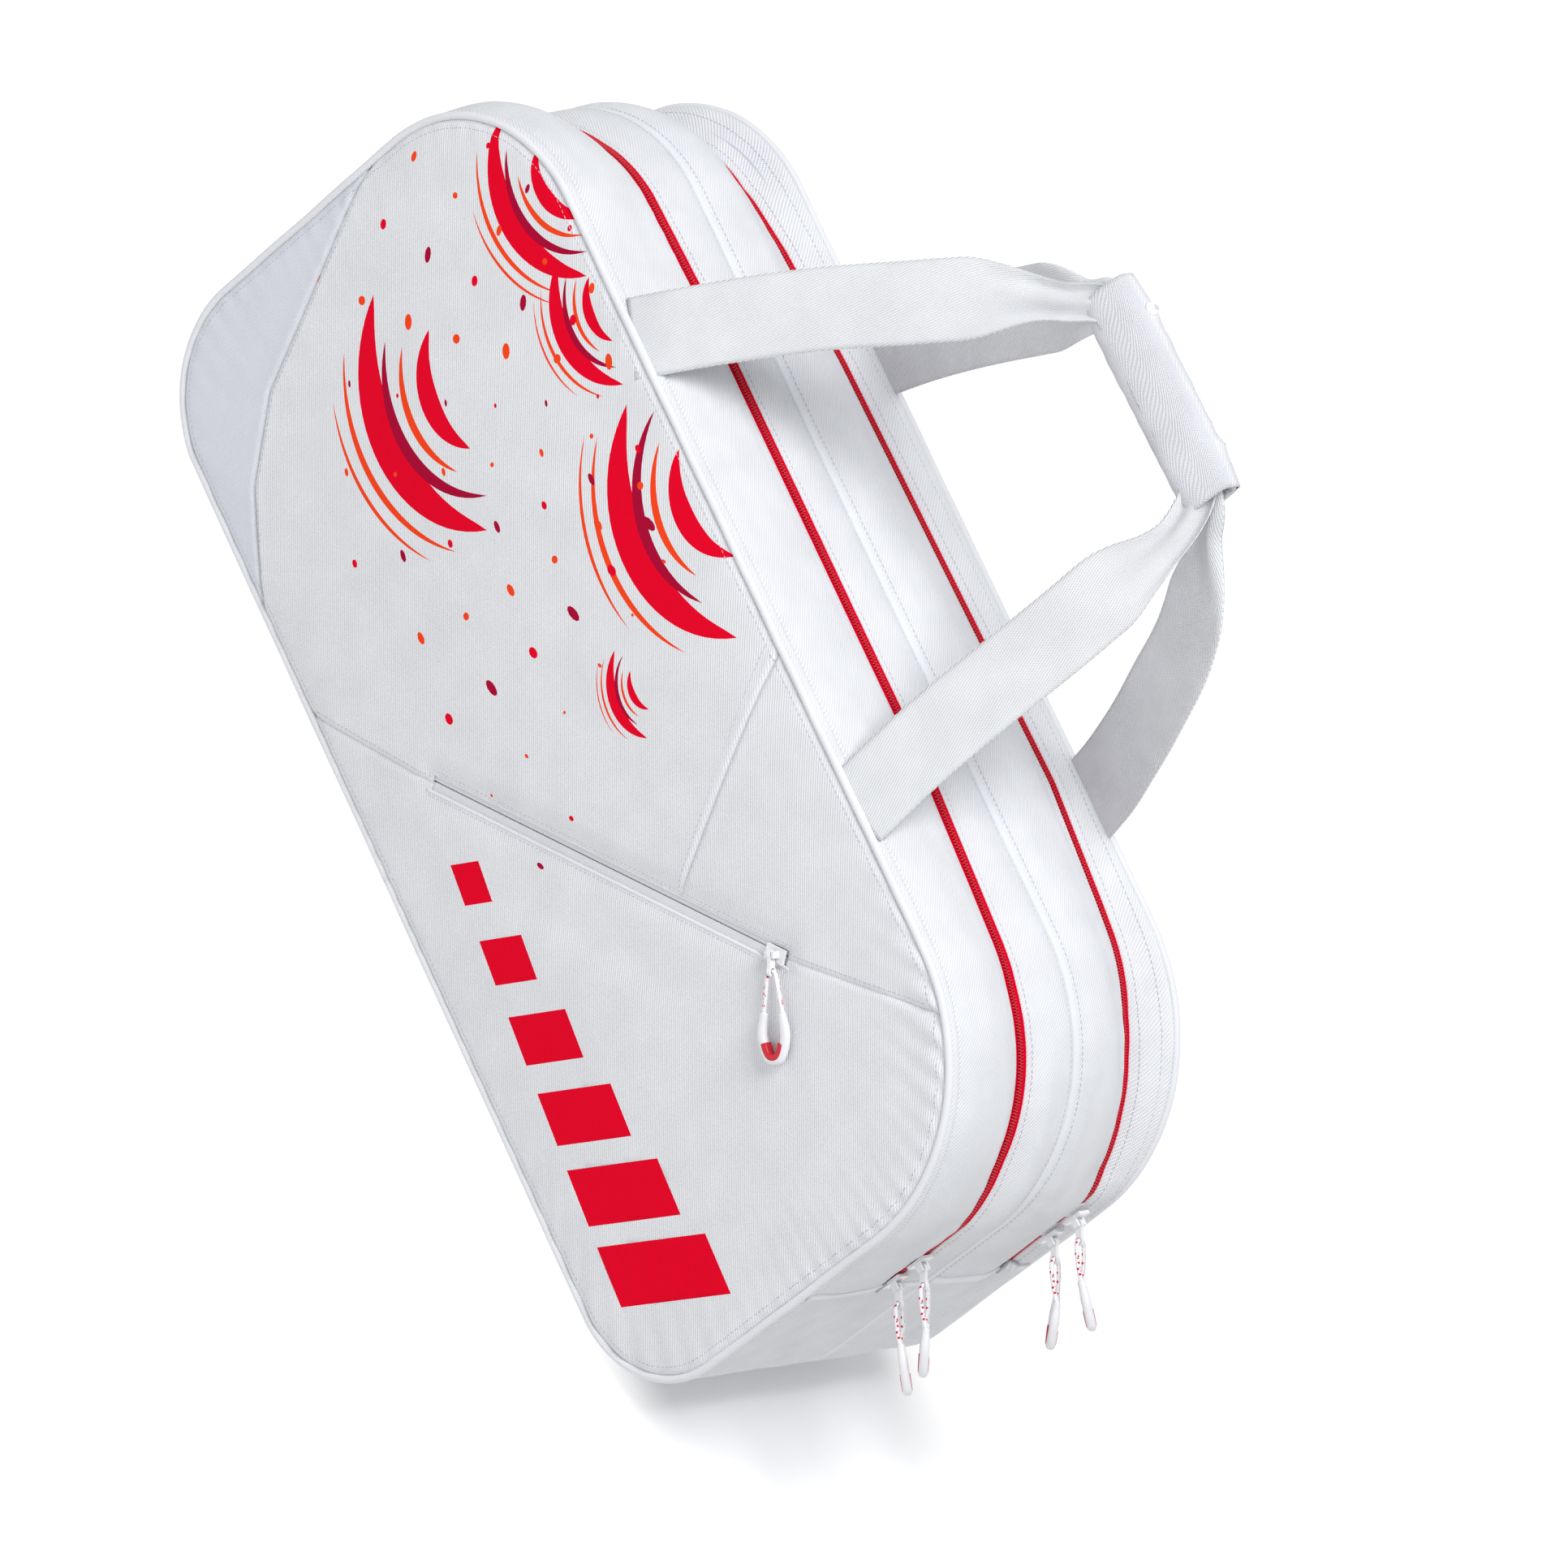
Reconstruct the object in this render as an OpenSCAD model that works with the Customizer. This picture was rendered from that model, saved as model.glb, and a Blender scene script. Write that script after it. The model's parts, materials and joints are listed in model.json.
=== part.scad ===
// Racket backpack standing on its long spine side, with the carry handles up.
// X runs along the bag (-X is the top end, +X the bottom end), -Y is the front
// panel, +Y the worn side, and Z = 0 is the surface that the spine side stands on.
// The origin is the middle of the spine side. All sizes are in millimetres.

/* [Body] */
// Length of the bag, top end to bottom end
body_l = 760; // [740:5:780]
// Height from the spine side to the handle side
body_h = 368; // [360:1:376]
// Corner radius where the spine side meets the top end
r_spine_top = 83; // [70:1:95]
// Corner radius where the spine side meets the bottom end
r_spine_bottom = 77; // [65:1:90]
// Corner radius where the handle side meets the top end
r_handle_top = 108; // [95:1:120]
// Corner radius where the handle side meets the bottom end
r_handle_bottom = 131; // [120:1:131]
// Thickness of the side walls, fabric over thin foam
wall = 4; // [3:0.5:5]

/* [Depth positions] */
// Outer edge of the front gusset
front_y = -104; // [-106:1:-102]
// Middle of the front zip
front_zip_y = -32; // [-36:1:-28]
// Seam where the two compartments meet
middle_y = 9; // [7:1:11]
// Middle of the rear zip
rear_zip_y = 79; // [76:1:80]
// Outer edge of the rear gusset
rear_y = 101; // [99:1:103]

/* [Panels] */
// Thickness of the padded front panels
panel_t = 7; // [6:0.5:8]
// Thickness of the back panel
back_t = 4; // [3:0.5:5]
// Thickness of the foam boards and of the divider
board_t = 5; // [4:0.5:6]
// Width of a seam between two panels
seam_w = 0.5; // [0.4:0.1:0.8]

/* [Zips] */
// Height above the spine side at which the zips end
zip_end_z = 165; // [160:1:170]
// Width of one half of a zip, from its middle to the gusset's edge
zip_half_w = 5; // [4.5:0.5:6]
// Thickness of the zip tape
tape_t = 1.2; // [1:0.1:1.5]
// Height of the zip teeth above the tape
teeth_h = 1.6; // [1.4:0.1:1.8]
// Width of the pocket's zip window
window_w = 12; // [11:0.5:14]

/* [Handles] */
// Width of the handle webbing at its seam
web_w = 52; // [48:1:54]
// Thickness of the handle webbing
web_t = 2.5; // [2:0.5:3]
// Height of the middle of the grip
grip_z = 617; // [610:1:625]
// Length of the padded grip
grip_l = 142; // [130:2:146]
// Height of the grip, across the webbing
grip_h = 38; // [34:1:40]

/* [Pulls] */
// Length of a zip slider
slider_l = 15; // [13:1:15]
// Diameter of a pull cord
cord_d = 2.8; // [2.4:0.1:3]
// Distance from a pull tab's pin to its cord hole
tab_l = 10; // [9:1:12]
// Length of a pull cord's two runs, from the tab to the grip
cord_l = 26; // [22:1:30]
// Length of a moulded pull grip
pull_l = 30; // [26:1:32]
// Outer width of a moulded pull grip
pull_w = 24; // [22:1:26]

/* [Shoulder straps] */
// Length of a shoulder pad along the bag
pad_l = 400; // [380:10:420]
// Width of a shoulder pad
pad_w = 62; // [58:1:66]
// Thickness of a shoulder pad
pad_t = 10; // [8:1:12]
// How far a strap stands off the back at its highest
strap_rise = 40; // [34:1:46]

/* [Hidden] */
$fn = 96;
half_l = body_l / 2;
gap = 0.3;
fabric = "whitesmoke";
red = "crimson";
big = 2000;

// The pocket's seam climbs across the front from the spine side to the handle side
pocket_seam = [[-150, -20], [-31, 73], [204, 271], [325, 392]];
// The triangular panel's seam, from the handle side down to the pocket's seam
triangle_seam = [[37, 378], [133, 211]];
// The wedge panel's seam, a shallow curve across the corner of the top end
wedge_seam = [[-400, 290], [-368, 215], [-339, 157], [-304, 87], [-261, 42], [-170, -10]];
window_a = pocket_seam[1];
window_b = pocket_seam[2];
window_dir = (window_b - window_a) / norm(window_b - window_a);
window_angle = atan2(window_dir[1], window_dir[0]);
window_l = norm(window_b - window_a);

panel_front_y = front_y - panel_t - gap;
pocket_tape_y = panel_front_y + 3.6;
back_y = rear_y + gap + back_t;
board_y = front_y + 9;
tape_top = wall - 0.8;
teeth_top = tape_top - teeth_h;

// ---------- Outline and walls ----------

// A corner's centre, for sx and sz of -1 or 1
function corner_radius(sx, sz) =
    sz < 0 ? (sx < 0 ? r_spine_top : r_spine_bottom)
           : (sx < 0 ? r_handle_top : r_handle_bottom);
function corner_centre(sx, sz) =
    [sx * (half_l - corner_radius(sx, sz)),
     sz < 0 ? corner_radius(sx, sz) : body_h - corner_radius(sx, sz)];

// The bag's outline in X and Z, moved inwards by inset
module outline(inset = 0) {
    corners = [[-1, -1], [1, -1], [1, 1], [-1, 1]];
    for (c = corners)
        translate(corner_centre(c[0], c[1])) circle(corner_radius(c[0], c[1]) - inset);
    a = corner_centre(-1, -1);
    b = corner_centre(1, -1);
    c = corner_centre(1, 1);
    d = corner_centre(-1, 1);
    polygon([
        [a[0], inset], [b[0], inset], [half_l - inset, b[1]], [half_l - inset, c[1]],
        [c[0], body_h - inset], [d[0], body_h - inset], [-half_l + inset, d[1]],
        [-half_l + inset, a[1]]
    ]);
}

module band(outer, inner) {
    difference() {
        outline(outer);
        outline(inner);
    }
}

// Extrudes a drawing made in X and Z from depth y0 to depth y1
module slab(y0, y1) {
    translate([0, y1, 0]) rotate([90, 0, 0]) linear_extrude(y1 - y0) children();
}

module above(z) { translate([-big / 2, z]) square([big, big]); }
module below(z) { translate([-big / 2, z - big]) square([big, big]); }

// The zipped part of a wall, round the handle side and half of both ends
module upper_wall(y0, y1, outer = 0, inner = wall) {
    slab(y0, y1) intersection() {
        band(outer, inner);
        above(zip_end_z + gap);
    }
}

// The part of a wall with no zip, round the spine side
module lower_wall(y0, y1) {
    slab(y0, y1) intersection() {
        band(0, wall);
        below(zip_end_z);
    }
}

// One half of a zip: its tape, and its row of teeth as a plain rib.
// side is -1 for the half on the front side and 1 for the half behind it.
module zip_half(zip_y, side) {
    edge = zip_y + side * (zip_half_w - gap);
    middle = zip_y + side * gap / 2;
    rib = zip_y + side * 2.2;
    upper_wall(min(edge, middle), max(edge, middle), tape_top - tape_t, tape_top);
    upper_wall(min(rib, middle), max(rib, middle), teeth_top - tape_t, tape_top - tape_t);
}

// ---------- Core ----------

module divider_panel() color(fabric)
    slab(middle_y - board_t / 2, middle_y + board_t / 2) outline(wall + gap);

module middle_piping() color("white")
    slab(middle_y - 2.5, middle_y + 2.5) band(0, wall);

module front_mid_gusset() color(fabric)
    upper_wall(front_zip_y + zip_half_w, middle_y - 2.5 - gap);

// Cuts a gusset into five panels, where its straight runs meet its corners
module corner_seams()
    slab(front_y, rear_y) for (sx = [-1, 1]) {
        c = corner_centre(sx, 1);
        translate([c[0], body_h]) square([seam_w, 4 * wall], center = true);
        translate([sx * half_l, c[1]]) square([4 * wall, seam_w], center = true);
    }

module rear_mid_gusset() color(fabric)
    difference() {
        upper_wall(middle_y + 2.5 + gap, rear_zip_y - zip_half_w);
        corner_seams();
    }

module front_lower_gusset() color(fabric)
    lower_wall(front_y, middle_y - 2.5 - gap);

module rear_lower_gusset() color(fabric)
    lower_wall(middle_y + 2.5 + gap, rear_y);

module front_zip_inner() color(red) zip_half(front_zip_y, 1);
module rear_zip_inner() color(red) zip_half(rear_zip_y, -1);

// A small block across the end of each zip, at both ends of the bag
module zip_end_stops() color("white")
    for (zip_y = [front_zip_y, rear_zip_y], sx = [-1, 1])
        translate([sx * (half_l + 0.6), zip_y, zip_end_z - 4])
            cube([1, 7, 6], center = true);

// ---------- Front shell ----------

// Each side of a seam is drawn from the seam's line, shifted away from it by part
// of the seam's width: shift is -0.5 for the near side and 0.5 for the far side.
module below_pocket_seam(shift) {
    translate(shift * seam_w * [-0.64, 0.77])
        polygon(concat(pocket_seam, [[big, 392], [big, -big], [-150, -big]]));
}

module beyond_triangle_seam(shift) {
    translate(shift * seam_w * [-0.87, -0.5])
        polygon([triangle_seam[0], triangle_seam[1], [big, 211], [big, 378]]);
}

module beyond_wedge_seam(shift) {
    translate(shift * seam_w * [0.7, 0.7])
        polygon(concat(wedge_seam, [[-big, -10], [-big, 290]]));
}

module window() {
    translate(window_a) rotate(window_angle)
        translate([0, -window_w / 2]) square([window_l, window_w]);
}

module front_sheet() {
    slab(panel_front_y, panel_front_y + panel_t) difference() {
        children();
        window();
    }
}

module front_panel_main() color(fabric)
    front_sheet() difference() {
        outline(1);
        below_pocket_seam(0.5);
        beyond_triangle_seam(0.5);
        beyond_wedge_seam(0.5);
    }

module front_panel_wedge() color("ghostwhite")
    front_sheet() intersection() {
        outline(1);
        beyond_wedge_seam(-0.5);
    }

module front_panel_triangle() color(fabric)
    front_sheet() intersection() {
        difference() {
            outline(1);
            below_pocket_seam(0.5);
        }
        beyond_triangle_seam(-0.5);
    }

module front_pocket_panel() color("snow")
    front_sheet() intersection() {
        outline(1);
        below_pocket_seam(-0.5);
    }

// The rolled edge, which hugs the front gusset from inside the panels' edge
module front_piping() color("white")
    slab(front_y, front_y + 5) band(wall + gap, wall + 5);

module front_gusset() color(fabric)
    upper_wall(front_y, front_zip_y - zip_half_w);

module front_foam_board() color("lightgray")
    slab(board_y, board_y + board_t) outline(wall + gap);

module front_zip_outer() color(red) zip_half(front_zip_y, -1);

module along_window(from, to) {
    translate([window_a[0], 0, window_a[1]]) rotate([0, -window_angle, 0])
        translate([from, 0, 0]) children();
}

module pocket_zip_tape() color("white")
    along_window(2, 0)
        translate([0, pocket_tape_y, gap - window_w / 2])
            cube([window_l - 4, tape_t, window_w - 2 * gap]);

module pocket_zip_teeth() color("white")
    along_window(4, 0)
        translate([0, pocket_tape_y - teeth_h, -2]) cube([window_l - 8, teeth_h, 4]);

// ---------- Rear shell ----------

module back_panel() color(fabric)
    slab(rear_y + gap, back_y) outline(1);

module back_foam_board() color("lightgray")
    slab(rear_y - board_t - 4, rear_y - 4) outline(wall + gap);

module rear_piping() color("white")
    slab(rear_y - 3.5, rear_y) band(wall + gap, wall + 5);

module rear_gusset() color(fabric)
    upper_wall(rear_zip_y + zip_half_w, rear_y);

module rear_zip_outer() color(red) zip_half(rear_zip_y, 1);

strap_x = -292;
strap_z = 36;
strap_l = 590;
strap_spread = 8;
strap_lift_y = back_y + 8;
strap_drop = 5.4;
patch_t = 4;

// The patch that the pads are sewn under, and a small one at the end of each webbing
module strap_anchor_patch() color(fabric) {
    translate([strap_x - 42, back_y, body_h / 2 - 75]) cube([36.5, patch_t, 150]);
    for (side = [-1, 1])
        translate([strap_x, back_y, body_h / 2 + side * strap_z])
            rotate([0, -side * strap_spread, 0])
                translate([strap_l - 42, 0, -20]) cube([40, patch_t, 40]);
}

// ---------- Handles ----------

// Each loop leans from its own seam to the grip. A leg is a flat ribbon in the
// leaning plane, and the top is a straight bar that stands upright in the grip.
front_seam_y = front_y - 9;
rear_seam_y = rear_y + 6;
seam_z = body_h + 1.5;
front_bar_y = 7;
rear_bar_y = 12.5;
upper_leg_x = -174;
lower_leg_x = 154;
bar_x0 = -72;
bar_x1 = 120;

function lean(seam_y, bar_y) = atan2(bar_y - seam_y, grip_z - seam_z);
function reach(seam_y, bar_y) = norm([bar_y - seam_y, grip_z - seam_z]);

module handle_leg(foot_x, tip_x, length) {
    half_foot = web_w / 2;
    half_tip = 11;
    polygon([
        [foot_x - half_foot, 0], [foot_x + half_foot, 0],
        [tip_x + half_tip, length], [tip_x - half_tip, length]
    ]);
}

module handle_loop(seam_y, bar_y) {
    length = reach(seam_y, bar_y);
    translate([0, seam_y, seam_z]) rotate([90 - lean(seam_y, bar_y), 0, 0])
        translate([0, 0, -web_t / 2]) linear_extrude(web_t) {
            handle_leg(upper_leg_x, bar_x0 + 13, length);
            handle_leg(lower_leg_x, bar_x1 - 13, length);
        }
    translate([bar_x0, bar_y - web_t / 2, grip_z - grip_h / 2 + 2])
        cube([bar_x1 - bar_x0, web_t, grip_h - 4]);
}

module front_handle_webbing() color("white") handle_loop(front_seam_y, front_bar_y);
module rear_handle_webbing() color("white") handle_loop(rear_seam_y, rear_bar_y);

grip_x = (bar_x0 + bar_x1) / 2;
flap_t = 4.5;
lip_z = grip_z + grip_h / 2;

// The padded half of the wrap, sewn to the rear loop, with a short lip on top
module grip_pad() color("white") {
    translate([grip_x - grip_l / 2, rear_bar_y + web_t / 2 + gap, grip_z - grip_h / 2])
        cube([grip_l, flap_t, grip_h]);
    translate([grip_x - grip_l / 2, rear_bar_y - 0.5, lip_z])
        cube([grip_l, web_t / 2 + gap + flap_t + 0.5, 2.5]);
}

// The half that opens: it covers the front loop and folds over the lip
module grip_flap() color("white") {
    translate([grip_x - grip_l / 2, front_bar_y - web_t / 2 - gap - flap_t,
               grip_z - grip_h / 2])
        cube([grip_l, flap_t, grip_h + 2.8]);
    translate([grip_x - grip_l / 2, front_bar_y - web_t / 2 - gap - flap_t, lip_z + 2.8])
        cube([grip_l, 19, 2.2]);
}

snap_y = rear_bar_y + 2;

module at_snaps(z) {
    for (dx = [-grip_l / 3, grip_l / 3])
        translate([grip_x + dx, snap_y, z]) children();
}

module snap_studs() color("silver")
    at_snaps(lip_z + 2.5) cylinder(d = 4, h = 0.3);

module snap_caps() color("white")
    at_snaps(lip_z + 5) cylinder(d = 11, h = 2);

// ---------- Shoulder straps ----------

// Height of a strap's middle line above the back, at distance t along it
function strap_y(t) = strap_rise * sin(180 * t / strap_l) - strap_drop * t / strap_l;

// A strip that follows the strap's arch from t0 to t1
module arch(t0, t1, thickness) {
    steps = 16;
    ts = [for (i = [0 : steps]) t0 + (t1 - t0) * i / steps];
    polygon(concat(
        [for (t = ts) [t, strap_y(t) - thickness / 2]],
        [for (i = [steps : -1 : 0]) [ts[i], strap_y(ts[i]) + thickness / 2]]
    ));
}

// Puts a strap's own frame on the back: side is 1 for the handle side, -1 for the spine side
module on_strap(side) {
    translate([strap_x, strap_lift_y, body_h / 2 + side * strap_z])
        rotate([0, -side * strap_spread, 0]) children();
}

module strap_pad(side) {
    on_strap(side) translate([0, 0, -pad_w / 2])
        linear_extrude(pad_w) arch(0, pad_l, pad_t);
}

module ladder_lock(side) {
    on_strap(side) translate([pad_l + 14, strap_y(pad_l + 14), 0])
        rotate([0, 0, -24]) difference() {
            cube([26, 5, 34], center = true);
            for (dx = [-6.5, 0, 6.5])
                translate([dx, 0, 0]) cube([3.4, 9, 26.5], center = true);
        }
}

module lower_webbing(side) {
    on_strap(side) translate([0, 0, -12.5])
        linear_extrude(25) arch(pad_l + 29, strap_l - 12, 2);
}

module left_strap_pad() color(fabric) strap_pad(1);
module left_ladder_lock() color("white") ladder_lock(1);
module left_lower_webbing() color("white") lower_webbing(1);
module right_strap_pad() color(fabric) strap_pad(-1);
module right_ladder_lock() color("white") ladder_lock(-1);
module right_lower_webbing() color("white") lower_webbing(-1);

// ---------- Sliders and pulls ----------

// A pull's own frame: the pin runs along Y, the pull hangs along -Z, +X is outwards
pin_r = 1.1;
pin_out = 5.8;
plate_top = 2.4;
hole_r = 1.6;
cord_hole_r = 1.9;
tab_t = 2.4;

// Upper plate with two ears and a pin, and a lower plate behind the tape.
// It travels along Z; x = 0 is the top of the teeth. The ears turn by ear_turn.
module slider(ear_turn = 0) {
    translate([0.4, -4.7, -slider_l / 2]) cube([plate_top - 0.4, 9.4, slider_l]);
    translate([-tape_t - teeth_h - 2, -4.5, -slider_l / 2]) cube([1.5, 9, slider_l]);
    rotate([ear_turn, 0, 0]) {
        for (side = [-1, 1])
            translate([plate_top, side * 2.9 - 0.9, -2.2])
                cube([pin_out - plate_top + 1.8, 1.8, 4.4]);
        translate([pin_out, 0, 0]) rotate([90, 0, 0])
            cylinder(r = pin_r, h = 6, center = true);
    }
}

module tab() {
    rotate([90, 0, 0]) linear_extrude(tab_t, center = true) difference() {
        union() {
            circle(r = 2.9);
            translate([0, -tab_l]) circle(r = 3.1);
            translate([-2.2, -tab_l]) square([4.4, tab_l]);
        }
        circle(r = hole_r);
        translate([0, -tab_l]) circle(r = cord_hole_r);
    }
}

// A tube of 8 sides swept along points that lie in the YZ plane
function along(points, i) =
    let (a = points[max(i - 1, 0)], b = points[min(i + 1, len(points) - 1)])
    (b - a) / norm(b - a);
function ring(points, i, r) =
    let (t = along(points, i), side = [0, -t[2], t[1]])
    [for (k = [0 : 7]) points[i] + r * (cos(k * 45) * [1, 0, 0] + sin(k * 45) * side)];

module tube(points, r) {
    n = len(points);
    verts = [for (i = [0 : n - 1]) each ring(points, i, r)];
    sides = [for (i = [0 : n - 2], k = [0 : 7])
        [8 * i + k, 8 * i + (k + 1) % 8, 8 * (i + 1) + (k + 1) % 8, 8 * (i + 1) + k]];
    caps = [[for (k = [7 : -1 : 0]) k], [for (k = [0 : 7]) 8 * (n - 1) + k]];
    polyhedron(verts, concat(sides, caps));
}

// The cord's route: down one run, through the tab's hole, and back. The runs turn
// about each other by the twist on their way down.
half_run = [[0, 7.6, -cord_l - 2], [0, 7.2, -cord_l + 3], [0, 6.2, -cord_l + 8],
            [0, 4.8, -10], [0, 3.9, -5], [0, 3.3, -2.2], [0, 2.4, -0.7], [0, 1.2, -0.1]];
function turned(p, side, twist) =
    let (a = twist * min(1, -p[2] / cord_l))
    [-side * p[1] * sin(a), side * p[1] * cos(a), p[2]];
function cord_route(twist) = concat(
    [for (p = half_run) turned(p, 1, twist)], [[0, 0, 0]],
    [for (i = [len(half_run) - 1 : -1 : 0]) turned(half_run[i], -1, twist)]
);

module pull_cord(twist = 0) { tube(cord_route(twist), cord_d / 2); }

// A moulded loop: two legs that take the cord's ends, joined by a rounded end
module pull_grip() {
    outer = pull_w / 2;
    rotate([90, 0, 90]) linear_extrude(6, center = true) difference() {
        union() {
            translate([-outer, -pull_l + 8]) square([pull_w, pull_l - 8]);
            translate([-outer + 6, -pull_l]) square([pull_w - 12, 10]);
            for (side = [-1, 1])
                translate([side * (outer - 6), -pull_l + 6]) circle(r = 6);
        }
        translate([-outer + 5.5, -pull_l + 10]) square([pull_w - 11, pull_l]);
        translate([0, -pull_l + 10]) circle(r = outer - 5.5);
    }
}

// Frames of the five sliders, and of what hangs from each of them
module end_slider_frame(zip_y, z) {
    translate([half_l - teeth_top + tape_t, zip_y, z]) children();
}
pocket_hang = 60;
pocket_at = window_a + window_dir * (window_l - 9);
module pocket_slider_frame() {
    translate([pocket_at[0], pocket_tape_y - teeth_h, pocket_at[1]])
        rotate([0, 90 - window_angle, 0]) rotate([0, 0, -90]) children();
}
module end_pull_frame(zip_y, z, hang) {
    end_slider_frame(zip_y, z) translate([pin_out, 0, 0]) rotate([0, -hang, 0]) children();
}
module pocket_pull_frame() {
    translate([pocket_at[0], pocket_tape_y - teeth_h - pin_out, pocket_at[1]])
        rotate([0, -pocket_hang, 0]) rotate([0, 0, -90]) children();
}
module on_tab() { translate([0, 0, -tab_l]) children(); }
module on_cord(kink, twist = 0) {
    on_tab() translate([0, 0, -cord_l]) rotate([0, kink, 0]) rotate([0, 0, twist]) children();
}
end_twist = 42;

front_a = [front_zip_y, 176, 60, -8];
front_b = [front_zip_y, 200, 60, 8];
rear_a = [rear_zip_y, 210, 60, 14];
rear_b = [rear_zip_y, 234, 60, -14];

module end_tab(s) { end_pull_frame(s[0], s[1], s[2]) tab(); }
module end_cord(s) { end_pull_frame(s[0], s[1], s[2]) on_tab() pull_cord(end_twist); }
module end_grip(s) { end_pull_frame(s[0], s[1], s[2]) on_cord(s[3], end_twist) pull_grip(); }

module front_slider_a() color("white") end_slider_frame(front_a[0], front_a[1]) slider();
module front_tab_a() color("white") end_tab(front_a);
module front_cord_a() color("pink") end_cord(front_a);
module front_pull_a() color("white") end_grip(front_a);
module front_slider_b() color("white") end_slider_frame(front_b[0], front_b[1]) slider();
module front_tab_b() color("white") end_tab(front_b);
module front_cord_b() color("pink") end_cord(front_b);
module front_pull_b() color("white") end_grip(front_b);
module rear_slider_a() color("white") end_slider_frame(rear_a[0], rear_a[1]) slider();
module rear_tab_a() color("white") end_tab(rear_a);
module rear_cord_a() color("pink") end_cord(rear_a);
module rear_pull_a() color("white") end_grip(rear_a);
module rear_slider_b() color("white") end_slider_frame(rear_b[0], rear_b[1]) slider();
module rear_tab_b() color("white") end_tab(rear_b);
module rear_cord_b() color("pink") end_cord(rear_b);
module rear_pull_b() color("white") end_grip(rear_b);
module pocket_slider() color("white")
    pocket_slider_frame() slider(ear_turn = pocket_hang + 90 - window_angle);
module pocket_tab() color("white") pocket_pull_frame() tab();
module pocket_cord() color("pink") pocket_pull_frame() on_tab() pull_cord();
module pocket_pull() color("white") pocket_pull_frame() on_cord(0) pull_grip();

divider_panel();
middle_piping();
front_mid_gusset();
rear_mid_gusset();
front_lower_gusset();
rear_lower_gusset();
front_zip_inner();
rear_zip_inner();
zip_end_stops();
front_panel_main();
front_panel_wedge();
front_panel_triangle();
front_pocket_panel();
front_piping();
front_gusset();
front_foam_board();
front_zip_outer();
pocket_zip_tape();
pocket_zip_teeth();
back_panel();
back_foam_board();
rear_piping();
rear_gusset();
rear_zip_outer();
strap_anchor_patch();
front_handle_webbing();
rear_handle_webbing();
grip_pad();
snap_studs();
grip_flap();
snap_caps();
left_strap_pad();
left_ladder_lock();
left_lower_webbing();
right_strap_pad();
right_ladder_lock();
right_lower_webbing();
front_slider_a();
front_tab_a();
front_cord_a();
front_pull_a();
front_slider_b();
front_tab_b();
front_cord_b();
front_pull_b();
rear_slider_a();
rear_tab_a();
rear_cord_a();
rear_pull_a();
rear_slider_b();
rear_tab_b();
rear_cord_b();
rear_pull_b();
pocket_slider();
pocket_tab();
pocket_cord();
pocket_pull();
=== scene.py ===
import json
import math

import bmesh
import bpy
import numpy as np
from mathutils import Matrix, Vector
from mathutils.geometry import delaunay_2d_cdt


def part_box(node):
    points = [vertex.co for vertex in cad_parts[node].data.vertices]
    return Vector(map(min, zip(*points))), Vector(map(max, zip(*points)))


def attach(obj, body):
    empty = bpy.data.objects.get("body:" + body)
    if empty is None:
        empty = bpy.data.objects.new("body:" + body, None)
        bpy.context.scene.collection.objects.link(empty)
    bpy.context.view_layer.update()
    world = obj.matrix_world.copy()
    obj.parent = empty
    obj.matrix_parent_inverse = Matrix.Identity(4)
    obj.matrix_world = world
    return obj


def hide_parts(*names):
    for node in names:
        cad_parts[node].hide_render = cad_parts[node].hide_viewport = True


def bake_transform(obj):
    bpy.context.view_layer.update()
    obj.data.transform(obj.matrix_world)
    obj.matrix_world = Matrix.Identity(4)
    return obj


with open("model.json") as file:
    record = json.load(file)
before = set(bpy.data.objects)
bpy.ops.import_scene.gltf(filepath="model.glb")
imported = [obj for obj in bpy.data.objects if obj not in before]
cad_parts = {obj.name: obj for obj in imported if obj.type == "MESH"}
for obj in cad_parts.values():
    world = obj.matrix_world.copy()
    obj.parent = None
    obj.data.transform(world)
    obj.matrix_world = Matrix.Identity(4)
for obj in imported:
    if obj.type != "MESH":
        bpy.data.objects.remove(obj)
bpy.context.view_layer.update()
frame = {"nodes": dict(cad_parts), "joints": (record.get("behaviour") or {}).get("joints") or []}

# Lengths are millimetres in the CAD's frame until a mesh is made, and metres in Blender.
MM = 0.001
GOLDEN = 2.399963


def cad_box_mm(node):
    low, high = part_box(node)
    return np.array(low) / MM, np.array(high) / MM


# ---------- Sizes taken from the frame ----------

GUSSET_LOW, GUSSET_HIGH = cad_box_mm("front_gusset")
REAR_LOW, REAR_HIGH = cad_box_mm("rear_gusset")
HALF_L = GUSSET_HIGH[0]
BODY_H = GUSSET_HIGH[2]
FRONT_Y = GUSSET_LOW[1]
REAR_Y = REAR_HIGH[1]
ZIP_HALF = 5.0
FRONT_ZIP_Y = GUSSET_HIGH[1] + ZIP_HALF
REAR_ZIP_Y = REAR_LOW[1] - ZIP_HALF
MIDDLE_Y = sum(cad_box_mm("middle_piping")[i][1] for i in (0, 1)) / 2
ZIP_END_Z = cad_box_mm("front_lower_gusset")[1][2]
BACK_Y = cad_box_mm("back_panel")[1][1]
RADIUS = {(-1, -1): 83.0, (1, -1): 77.0, (1, 1): 131.0, (-1, 1): 108.0}
JOINT = {j["name"]: j for j in frame["joints"]}


def joint_at(name):
    return np.array(JOINT[name]["pos_m"]) / MM


# ---------- Small maths ----------

def smooth(x):
    x = np.clip(x, 0, 1)
    return x * x * (3 - 2 * x)


def bell(x, width):
    return np.exp(-((x / width) ** 2))


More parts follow.
